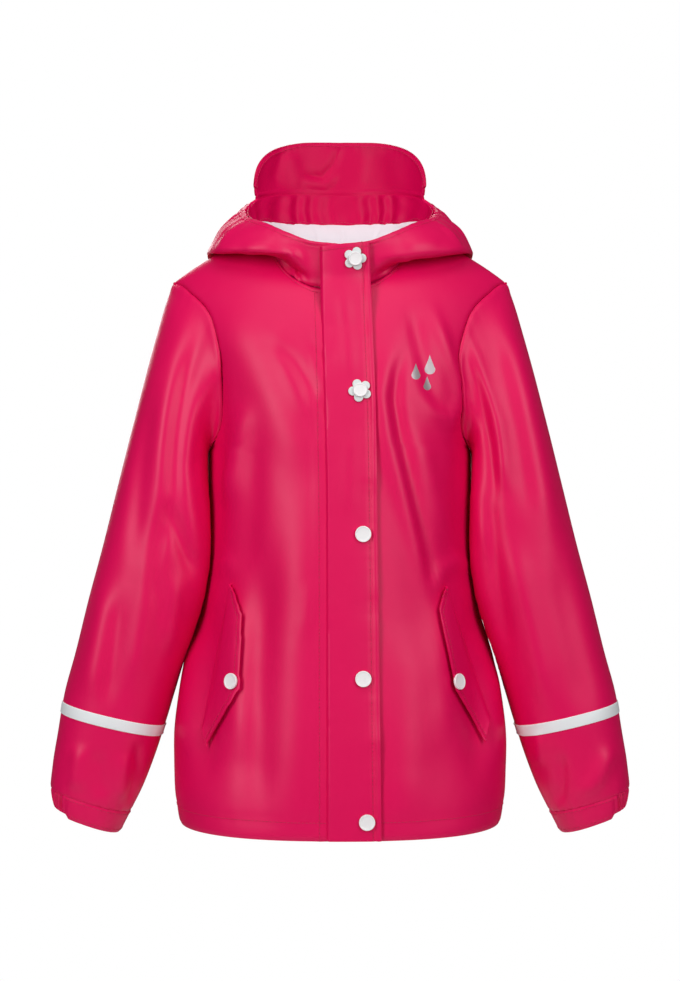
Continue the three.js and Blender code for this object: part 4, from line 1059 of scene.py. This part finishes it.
def spaced(stations, count):
    """Evenly spaced points on a smooth centripetal curve through flat points."""
    ends = [2 * stations[0] - stations[1], *stations, 2 * stations[-1] - stations[-2]]
    dense = []
    for p0, p1, p2, p3 in zip(ends, ends[1:], ends[2:], ends[3:]):
        d0, d1, d2 = [max(1e-4, (b - a).length) ** 0.5 for a, b in ((p0, p1), (p1, p2), (p2, p3))]
        t1 = ((p1 - p0) / d0 - (p2 - p0) / (d0 + d1) + (p2 - p1) / d1) * d1
        t2 = ((p2 - p1) / d1 - (p3 - p1) / (d1 + d2) + (p3 - p2) / d2) * d1
        for k in range(16):
            t = k / 16
            cubic = 2 * t**3 - 3 * t**2
            dense.append(p1 * (cubic + 1) + t1 * (t**3 - 2 * t**2 + t) + t2 * (t**3 - t**2) - p2 * cubic)
    dense.append(stations[-1])
    run = [0.0]
    for a, b in zip(dense, dense[1:]):
        run.append(run[-1] + (b - a).length)
    found, i = [], 0
    for k in range(count + 1):
        due = run[-1] * k / count
        while i < len(run) - 2 and run[i + 1] < due:
            i += 1
        found.append(dense[i].lerp(dense[i + 1], (due - run[i]) / max(1e-6, run[i + 1] - run[i])))
    return found


def rolled_up(side, turn):
    return ROLL_UP[side] * smooth(turn, 22, 38) * (1 - smooth(turn, 50, 78))


def hood_slice(side, turn):
    start_r, start_z = neck_at(side, turn)
    at = hood_at(abs(turn))
    stations = [Vector((start_r, start_z + HOOD_SEAM))]
    stations += [Vector((at[name + "R"], at[name + "Z"])) for name in STATIONS]
    lifted = rolled_up(side, turn)
    stations[1].x -= 0.8 * lifted
    stations[2].y += lifted
    stations[3].y += 0.4 * lifted
    stations += [stations[-1] + Vector(step) for step in CURL]
    within = clamp((turn - BUNCHES["from"]) / (BUNCHES["to"] - BUNCHES["from"]), 0, 1)
    swing = 2 * pi * BUNCHES["count"] * within
    bunch = BUNCHES["deep"] * sin(swing / 2) ** 2 * (0.75 + 0.25 * sin(swing / 2.3 + side))
    points = []
    for i, p in enumerate(spaced(stations, HOOD_ROWS)):
        share = i / HOOD_ROWS
        near_rim = smooth(share, BUNCHES["start"], 0.85) * (1 - smooth(share, 0.93, 1))
        points.append(polar(side, turn, p.x + bunch * near_rim, p.y - bunch * near_rim * 0.4))
    return points


hood = {}
for side in (RIGHT, LEFT):
    first = neck[side][0][0]
    turns = [mix(first, 90, k / HOOD_COLUMNS["front"]) for k in range(HOOD_COLUMNS["front"])]
    turns += [90 + k for k in range(HOOD_COLUMNS["back"])] + HOOD_CENTRE_TURNS
    slices = [hood_slice(side, turn) for turn in turns]
    sheet = Sheet([list(row) for row in zip(*slices)], -side)
    for row, lifts in zip(sheet.grid, sheet.lift):
        for j, p in enumerate(row):
            if p.y < 0:
                lifts[j] += fold_height(HOOD_FOLDS, p.x, p.z)
    sheet.settle()
    sheet.shape("right", sewn(phase=1.0, pucker=0.35))
    sheet.shape("bottom", sewn(phase=0.3, pucker=0.35))
    sheet.shape("top", stitched(HOOD_STITCH["rim"], phase=0.8, deep=0.45, pucker=0.3))
    sheet.settle()
    hood[side] = sheet
    name = f"hood_{SIDE[side]}"
    piece = cloth(f"{name}_cloth", sheet, HOOD_CLOTH, pink)
    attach(piece, "root")
    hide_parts(name)
    stitch_lines = [sheet.line("top", HOOD_STITCH["rim"]), sheet.line("right", HOOD_STITCH["centre"])]
    sewing = stitches(f"{name}_topstitching", stitch_lines, thread)

# Hood band
# Inside the rim runs a casing of coated cloth with elastic in it, which draws it into small uneven gathers.
BAND = {"from": 48, "inside": 4.8, "lean": 4.5, "below": 0.4, "gathers": 18, "deep": 1.5, "wavy": 0.7,
        "columns": 700, "rows": 22}
BAND_STITCH = {"away": 2.6, "start": 0.14, "end": 0.86}


def round_neck(first, columns, rows, place):
    """A grid round the neck from the centre front, by the right, the back and the left."""
    grid = []
    for i in range(rows + 1):
        row = []
        for k in range(columns + 1):
            whole = mix(first, 360 - first, k / columns)
            side = RIGHT if whole <= 180 else LEFT
            turn = min(whole, 360 - whole)
            r, z = place(side, turn, k / columns, i / rows)
            row.append(polar(side, turn, r, z))
        grid.append(row)
    return grid


def band_place(side, turn, u, v):
    at = hood_at(turn)
    swing = 2 * pi * BAND["gathers"] * u
    gather = sin(swing + 1.4 * sin(swing / 3.7) + 0.5 * sin(5 * v + swing / 9))
    deep = BAND["deep"] * (0.7 + 0.3 * sin(swing / 5.3 + 1)) * min(1, at["band"] / 14)
    pinch = sin(pi * mix(0.06, 0.8, v)) + 0.3 * sin(3 * pi * v)
    r = at["rimR"] - BAND["inside"] - BAND["lean"] * v - deep * gather * pinch
    wavy = BAND["wavy"] * v * sin(swing + 1.4 * sin(swing / 3.7) + 0.9)
    return r, at["rimZ"] - BAND["below"] - (at["band"] + 1.4) * v + wavy


band = Sheet(round_neck(BAND["from"], BAND["columns"], BAND["rows"], band_place), 1)
# The band is given the darker copy of the pink, which is painted shade.
piece = cloth("hood_band_cloth", band, HOOD_CLOTH, painted_shade_pink, soft_edge=0.3)
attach(piece, "root")
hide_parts("hood_band")
band_line = band.line("top", BAND_STITCH["away"], start=BAND_STITCH["start"], end=BAND_STITCH["end"])
sewing = stitches("hood_band_topstitching", [band_line], thread)

# Hood lining
# The hood is lined with a soft off-white knit, which shows below the band inside the neck.
LINED = {"from": 1.5, "rimIn": 4.2, "neckIn": 5.5, "neckUp": 0.5, "below": 0.3, "pull": 1.5, "thick": 0.9,
         "columns": 240, "rows": 24}
PLEATS = {RIGHT: [161], LEFT: [177, 148]}  # the turns at which each half of the lining is pleated
PLEAT = {"wide": 1.5, "deep": 1.2}
knit, knit_shader, value = material("knitted_lining", Base_Color=colour(240, 234, 241), Roughness=0.95)
knit_shader.inputs["Specular IOR Level"].default_value = 0.15
place = value.node("ShaderNodeUVMap", {}, uv_map="cloth")
ribs = value.node("ShaderNodeTexWave", {"Vector": place, "Scale": 260, "Distortion": 1.5, "Detail": 1})
fuzz = value.node("ShaderNodeTexNoise", {"Vector": place, "Scale": 900, "Detail": 3})
uneven = ribs * 0.6 + fuzz * 0.5
knitted = value.node("ShaderNodeBump", {"Strength": 0.5, "Distance": 0.0004, "Height": uneven})
knit.node_tree.links.new(knitted.socket, knit_shader.inputs["Normal"])


def lining_place(side, turn, u, v):
    at = hood_at(turn)
    seam_r, seam_z = neck_at(side, turn)
    top_r = at["rimR"] - LINED["rimIn"] - BAND["lean"] * min(1, at["band"] / 8)
    top_z = at["rimZ"] - BAND["below"] - at["band"] - LINED["below"]
    sag = LINED["pull"] * sin(pi * v) + 0.5 * sin(turn / 5 + 2 * sin(turn / 17)) * sin(pi * v)
    pleat = sum(exp(-(((turn - middle) / PLEAT["wide"]) ** 2)) for middle in PLEATS[side])
    inner_r = mix(top_r, seam_r - LINED["neckIn"], v) - sag + PLEAT["deep"] * pleat * sin(pi * v)
    inner_r -= rolled_up(side, turn) * smooth(v, 0, 0.5)
    return inner_r, mix(top_z, seam_z + LINED["neckUp"], v) + sag


lining = Sheet(round_neck(LINED["from"], LINED["columns"], LINED["rows"], lining_place), 1)
piece = cloth("hood_lining_knit", lining, LINED["thick"], knit, soft_edge=0.25)
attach(piece, "root")
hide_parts("hood_lining")

# Peak
# The hood's peak is two layers of coated cloth over a stiff sheet, edged and topstitched. It stands upright
# behind the neck, so that its underside faces forward.
PEAK = {"from": 117.5, "high": 54, "lean": 0.14, "square": 2.7, "ends": 0.984, "out": -0.4, "up": -2.5,
        "thick": 3, "columns": 140, "rows": 40, "seam": 5.2, "stitch": 5}
PEAK_FOLDS = [
    {"along": [(-34, 70), (-18, 69), (-6, 82), (0, 99)], "wide": 4.5, "high": 2.2},
    {"along": [(-38, 62), (-16, 60), (-3, 70)], "wide": 4, "high": -1.7},
    {"along": [(-56, 97), (-65, 66), (-62, 54)], "wide": 6, "high": 1.6},
    {"along": [(-50, 90), (-42, 56)], "wide": 8, "high": -1.4},
    {"along": [(30, 98), (20, 54)], "wide": 13, "high": 1.4},
    {"along": [(54, 92), (58, 52)], "wide": 10, "high": -1.3},
]


def peak_place(side, turn, u, v):
    at = hood_at(turn)
    across = PEAK["ends"] * abs(2 * u - 1)
    rise = v * (PEAK["high"] - PEAK["up"]) * (1 - across ** PEAK["square"]) ** (1 / PEAK["square"])
    sag = 0.6 * sin(pi * v) * sin(9 * u + 1)
    return at["rimR"] + PEAK["out"] + PEAK["lean"] * rise + sag, at["rimZ"] + PEAK["up"] + rise


peak = Sheet(round_neck(PEAK["from"], PEAK["columns"], PEAK["rows"], peak_place), 1)
for row, lifts in zip(peak.grid, peak.lift):
    for j, p in enumerate(row):
        lifts[j] += fold_height(PEAK_FOLDS, p.x, p.z)
peak.settle()
peak.shape("top", stitched(PEAK["stitch"], phase=0.5, deep=0.35, pucker=0.12))
peak.shape("bottom", lambda away, along: -0.9 * exp(-(((away - PEAK["seam"]) / 0.9) ** 2)))
peak.shape("top", lambda away, along: 0.5 * exp(-(((away - 1.8) / 1.6) ** 2)))
peak.settle()
# The peak is given the darker copy of the pink, which is painted shade.
piece = cloth("hood_peak_cloth", peak, PEAK["thick"], painted_shade_pink, soft_edge=1.1)
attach(piece, "root")
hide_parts("hood_peak")
peak_line = peak.line("top", PEAK["stitch"])
other_side = [(point - face * PEAK["thick"], -face) for point, face in peak_line]
sewing = stitches("hood_peak_topstitching", [peak_line, other_side], thread)

# Storm flap
# A double strip of coated cloth is sewn to the right front and closes over the left one. Its free edge is
# rolled over and topstitched, and it lies a little unevenly between its press studs.
DOUBLE_CLOTH = 2.2
PILE = 0.9  # with DOUBLE_CLOTH, how high a flap's outer face lies above the cloth below it
FLAP_THICK = DOUBLE_CLOTH - 0.4
FLAP_SEWN = {"low": -0.3, "over": 2.8}  # it starts down at its seam and has risen to its full height here
STAND = {"z": -39, "r": 73.3, "lean": 0.08}
FLAP_LEAVES_BODY = -92
FLAP_MEETS_STAND = -46
FLAP_HEM_UP = 0.5
FLAP_ROWS = 180
FLAP_STITCH = {"free": 8, "top": 4}
FLAP_EDGE = {"high": 0.7, "at": 2.2, "wide": 1.9}
FLAP_GROOVE = {"deep": 0.9, "at": 5.4, "wide": 1.2}
EVENED_OVER = (-9, -3, 3, 9)  # heights above and below a place over which the flap evens the chest out
CHEST_FROM = -70
SEEN_FROM = -400
FLAP_TOP_UP = {"sewn": -4, "free": 1}
FLAP_FOLDS = [
    {"along": [(2, -58), (7, -100), (9, -138)], "wide": 8, "high": 1.6},
    {"along": [(10, -190), (8, -262)], "wide": 9, "high": 0.9},
]
STUDS = [
    {"x": 13.4, "z": -30, "flower": True, "turn": 4},
    {"x": 18, "z": -152, "flower": True, "turn": 42},
    {"x": 20.6, "z": -281},
    {"x": 20.6, "z": -410},
    {"x": 24, "z": -537},
]


def tree_of(*sheets):
    """The outer faces of sheets, to look at from the front."""
    points, quads = [], []
    for sheet in sheets:
        first, columns = len(points), len(sheet.grid[0])
        points += [p for row in sheet.grid for p in row]
        for i in range(len(sheet.grid) - 1):
            for j in range(columns - 1):
                low = first + i * columns + j
                quads.append((low, low + columns, low + columns + 1, low + 1))
    return BVHTree.FromPolygons(points, quads)


def seen_at(tree, x, z):
    """The point that is seen at a place from the front, and the way it faces."""
    point, face, _, _ = tree.ray_cast(Vector((x, SEEN_FROM, z)), Vector((0, 1, 0)))
    if point is None:
        return None
    return point, face if face.y < 0 else -face


chest = tree_of(fronts[RIGHT], fronts[LEFT])


def chest_depth(x, z):
    """How far forward the chest lies, evened out as a stiff double strip lies on it."""
    found = [seen_at(chest, x, clamp(z + step, -HEM, CHEST_FROM)) for step in EVENED_OVER]
    found = [hit[0].y for hit in found if hit]
    return sum(found) / len(found)


def flap_point(x, z, out):
    def on_chest(height):
        return chest_depth(x, height) - out

    def on_stand(height):
        return -sqrt((STAND["r"] + STAND["lean"] * (height - STAND["z"]) + out) ** 2 - x * x)

    if z <= FLAP_LEAVES_BODY:
        return Vector((x, on_chest(z), z))
    if z >= FLAP_MEETS_STAND:
        return Vector((x, on_stand(z), z))
    t = (z - FLAP_LEAVES_BODY) / (FLAP_MEETS_STAND - FLAP_LEAVES_BODY)
    return Vector((x, mix(on_chest(FLAP_LEAVES_BODY), on_stand(FLAP_MEETS_STAND), t), z))


def between_studs(z):
    """From 0 at a stud to 1 halfway to the next one."""
    for upper, lower in zip(STUDS, STUDS[1:]):
        if lower["z"] <= z <= upper["z"]:
            return sin(pi * (z - lower["z"]) / (upper["z"] - lower["z"])) ** 2
    return 0


flap_top = FLAP[-1]["z"]
flap_rows = []
for i in range(FLAP_ROWS + 1):
    t = i / FLAP_ROWS
    edges = flap_at(mix(FLAP[0]["z"], flap_top, t))
    row = []
    for u in between((1, 36), finer_start=3, finer_end=3):
        x = mix(edges["sewn"], edges["free"], u)
        hem = body_point(FRONT, x, HEM).z + FLAP_HEM_UP
        z = mix(hem, flap_top + mix(FLAP_TOP_UP["sewn"], FLAP_TOP_UP["free"], u), t)
        from_seam = u * (edges["free"] - edges["sewn"])
        out = mix(FLAP_SEWN["low"], PILE + DOUBLE_CLOTH, smooth(from_seam, -0.2, FLAP_SEWN["over"]))
        ripple = between_studs(z) * u**3 * (1.1 + 0.7 * sin(z / 13) + 0.4 * sin(z / 5.3 + 1))
        row.append(flap_point(x, z, out + ripple + fold_height(FLAP_FOLDS, x, z)))
    flap_rows.append(row)
flap = Sheet(flap_rows, -1)


def rolled_edge(away, along):
    roll = FLAP_EDGE["high"] * exp(-(((away - FLAP_EDGE["at"]) / FLAP_EDGE["wide"]) ** 2))
    return roll - FLAP_GROOVE["deep"] * exp(-(((away - FLAP_GROOVE["at"]) / FLAP_GROOVE["wide"]) ** 2))


flap.shape("right", rolled_edge)
flap.shape("right", stitched(FLAP_STITCH["free"], phase=0.6, deep=0.3, pucker=0.22))
flap.shape("top", stitched(FLAP_STITCH["top"], phase=1.2, deep=0.35, pucker=0.1))
flap.shape("left", sewn(phase=2.2, deep=0.3, pucker=0.22))
flap.settle()
piece = cloth("storm_flap_cloth", flap, FLAP_THICK, pink, soft_edge=0.7)
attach(piece, "root")
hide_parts("storm_flap")
stitch_lines = [flap.line("right", FLAP_STITCH["free"]), flap.line("top", FLAP_STITCH["top"])]
sewing = stitches("storm_flap_topstitching", stitch_lines, thread)
flap_front = tree_of(flap)

# Pocket flaps
# A slanting double flap with a pointed lower end covers each pocket. It is sewn on along its outer edge,
# topstitched round the others, and closed by one press stud.
POCKETS = [
    {
        "side": RIGHT,
        "sewn": [(-126, -459), (-99.5, -327)],
        "free": [(-118, -474), (-89, -421), (-87, -355), (-94, -333)],
        "stud": (-97.6, -414),
    },
    {
        "side": LEFT,
        "sewn": [(137.5, -450), (96, -329)],
        "free": [(130, -473), (101.5, -423), (87, -350), (91.5, -333)],
        "stud": (107, -415),
    },
]
POCKET_LIFT = 2
POCKET_STITCH = {"away": 5, "start": 0.03, "end": 0.97}


def pocket_sheet(pocket):
    free, (sewn_low, sewn_high) = pocket["free"], pocket["sewn"]
    front = tree_of(fronts[pocket["side"]])
    stretches = len(free) - 1
    rows = []
    for step in between((stretches, 16), finer_start=2, finer_end=2):
        k = min(stretches - 1, int(step))
        (x0, z0), (x1, z1) = free[k], free[k + 1]
        edge = (mix(x0, x1, step - k), mix(z0, z1, step - k))
        t = step / stretches
        seam = (mix(sewn_low[0], sewn_high[0], t), mix(sewn_low[1], sewn_high[1], t))
        row = []
        for u in between((1, 16), finer_start=1, finer_end=3):
            point, face = seen_at(front, mix(seam[0], edge[0], u), mix(seam[1], edge[1], u))
            row.append(point + face * (0.4 + (PILE + DOUBLE_CLOTH) * smooth(u, -0.1, 0.3) + POCKET_LIFT * u))
        rows.append(row)
    return Sheet(rows, pocket["side"])


pocket_fronts = {}
for pocket in POCKETS:
    sheet = pocket_sheet(pocket)
    for edge in ("right", "bottom", "top"):
        sheet.shape(edge, lambda away, along: 0.45 * exp(-(((away - 1.6) / 1.5) ** 2)))
    sheet.shape("right", stitched(POCKET_STITCH["away"], phase=0.9, deep=0.35, pucker=0.12))
    sheet.settle()
    name = f"pocket_flap_{SIDE[pocket['side']]}"
    piece = cloth(f"{name}_cloth", sheet, FLAP_THICK, pink, soft_edge=0.6)
    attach(piece, "root")
    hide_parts(name)
    line = sheet.line("right", POCKET_STITCH["away"], POCKET_STITCH["start"], POCKET_STITCH["end"])
    sewing = stitches(f"{name}_topstitching", [line], thread)
    pocket_fronts[pocket["side"]] = tree_of(sheet)

# Press studs
# White plastic press studs close the flaps. Each cap is a shallow dish with a rounded rim. The two upper ones
# sit on pale grey washers cut as flowers with five round petals.
STUD = {"radius": 7.2, "high": 2.4, "rim": 1.1, "dish": 0.35}
FLOWER_STUD = {"radius": 6.2, "high": 2.3, "rim": 1.0, "dish": 0.3}
FLOWER = {"lobes": 5, "petal": 4.15, "out": 6.5, "high": 1.4, "sides": 120}
STUD_LIFT = 0.4  # how far a stud stands off the cloth that it closes
FLOWER_LIFT = 0.5
STUD_OVER_FLOWER = 0.1
white, *_ = material("stud_white", Base_Color=colour(246, 243, 244), Roughness=0.32)
pale_grey, *_ = material("flower_grey", Base_Color=colour(222, 226, 226), Roughness=0.38)


def place_on(obj, tree, x, z, lift, turn=0):
    """Turn a piece to lie on the cloth that is seen at a place from the front."""
    point, face = seen_at(tree, x, z)
    spin = face.to_track_quat("Z", "Y") @ Quaternion((0, 0, 1), radians(turn))
    for vertex in obj.data.vertices:
        vertex.co = spin @ vertex.co + (point + face * lift) * MM


def finish_cap(obj, look, node, soft):
    select_only(obj)
    bevel = obj.modifiers.new("edge", "BEVEL")
    bevel.width = soft * MM
    bevel.segments = 3
    bevel.limit_method = "ANGLE"
    bevel.angle_limit = radians(30)
    bpy.ops.object.modifier_apply(modifier="edge")
    bpy.ops.object.shade_smooth_by_angle(angle=radians(50))
    obj.data.materials.append(look)
    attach(obj, "root")
    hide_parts(node)


def stud(node, size, tree, x, z, lift):
    """A cap made from a low cylinder: its top is inset to a rim and sunk to a dish."""
    bpy.ops.object.select_all(action="DESELECT")
    bpy.ops.mesh.primitive_cylinder_add(vertices=48, radius=size["radius"] * MM, depth=size["high"] * MM)
    obj = bpy.context.object
    obj.name = f"{node}_cap"
    bpy.ops.object.mode_set(mode="EDIT")
    bpy.ops.mesh.select_mode(type="FACE")
    bpy.ops.mesh.select_all(action="DESELECT")
    bpy.ops.object.mode_set(mode="OBJECT")
    for face in obj.data.polygons:
        face.select = face.normal.z > 0.9
    bpy.ops.object.mode_set(mode="EDIT")
    bpy.ops.mesh.inset(thickness=size["rim"] * MM)
    bpy.ops.mesh.inset(thickness=size["rim"] * 0.5 * MM, depth=-size["dish"] * MM)
    bpy.ops.object.mode_set(mode="OBJECT")
    place_on(obj, tree, x, z, lift + size["high"] / 2)
    finish_cap(obj, white, node, 0.3)


def flower(node, tree, x, z, lift, turn):
    bpy.ops.object.select_all(action="DESELECT")
    bpy.ops.mesh.primitive_circle_add(vertices=FLOWER["sides"], radius=MM, fill_type="NGON")
    obj = bpy.context.object
    obj.name = f"{node}_washer"
    for vertex in obj.data.vertices:
        angle = atan2(vertex.co.y, vertex.co.x)
        lobe = 2 * pi / FLOWER["lobes"]
        off = angle - lobe * round(angle / lobe)
        vertex.co *= FLOWER["out"] * cos(off) + sqrt(FLOWER["petal"] ** 2 - (FLOWER["out"] * sin(off)) ** 2)
    bpy.ops.object.mode_set(mode="EDIT")
    bpy.ops.mesh.select_all(action="SELECT")
    bpy.ops.mesh.extrude_region_move(TRANSFORM_OT_translate={"value": (0, 0, FLOWER["high"] * MM)})
    bpy.ops.mesh.select_all(action="SELECT")
    bpy.ops.mesh.normals_make_consistent(inside=False)
    bpy.ops.object.mode_set(mode="OBJECT")
    place_on(obj, tree, x, z, lift, turn)
    finish_cap(obj, pale_grey, node, 0.45)


for k, spot in enumerate(STUDS):
    node = f"stud_{k + 1}"
    if spot.get("flower"):
        flower(f"{node}_flower", flap_front, spot["x"], spot["z"], FLOWER_LIFT, spot["turn"])
        lift = FLOWER_LIFT + FLOWER["high"] + STUD_OVER_FLOWER
        stud(node, FLOWER_STUD, flap_front, spot["x"], spot["z"], lift)
    else:
        stud(node, STUD, flap_front, spot["x"], spot["z"], STUD_LIFT)
for pocket in POCKETS:
    side = pocket["side"]
    stud(f"pocket_stud_{SIDE[side]}", STUD, pocket_fronts[side], *pocket["stud"], STUD_LIFT)

after = [[float(v) for v in corner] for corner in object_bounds()]
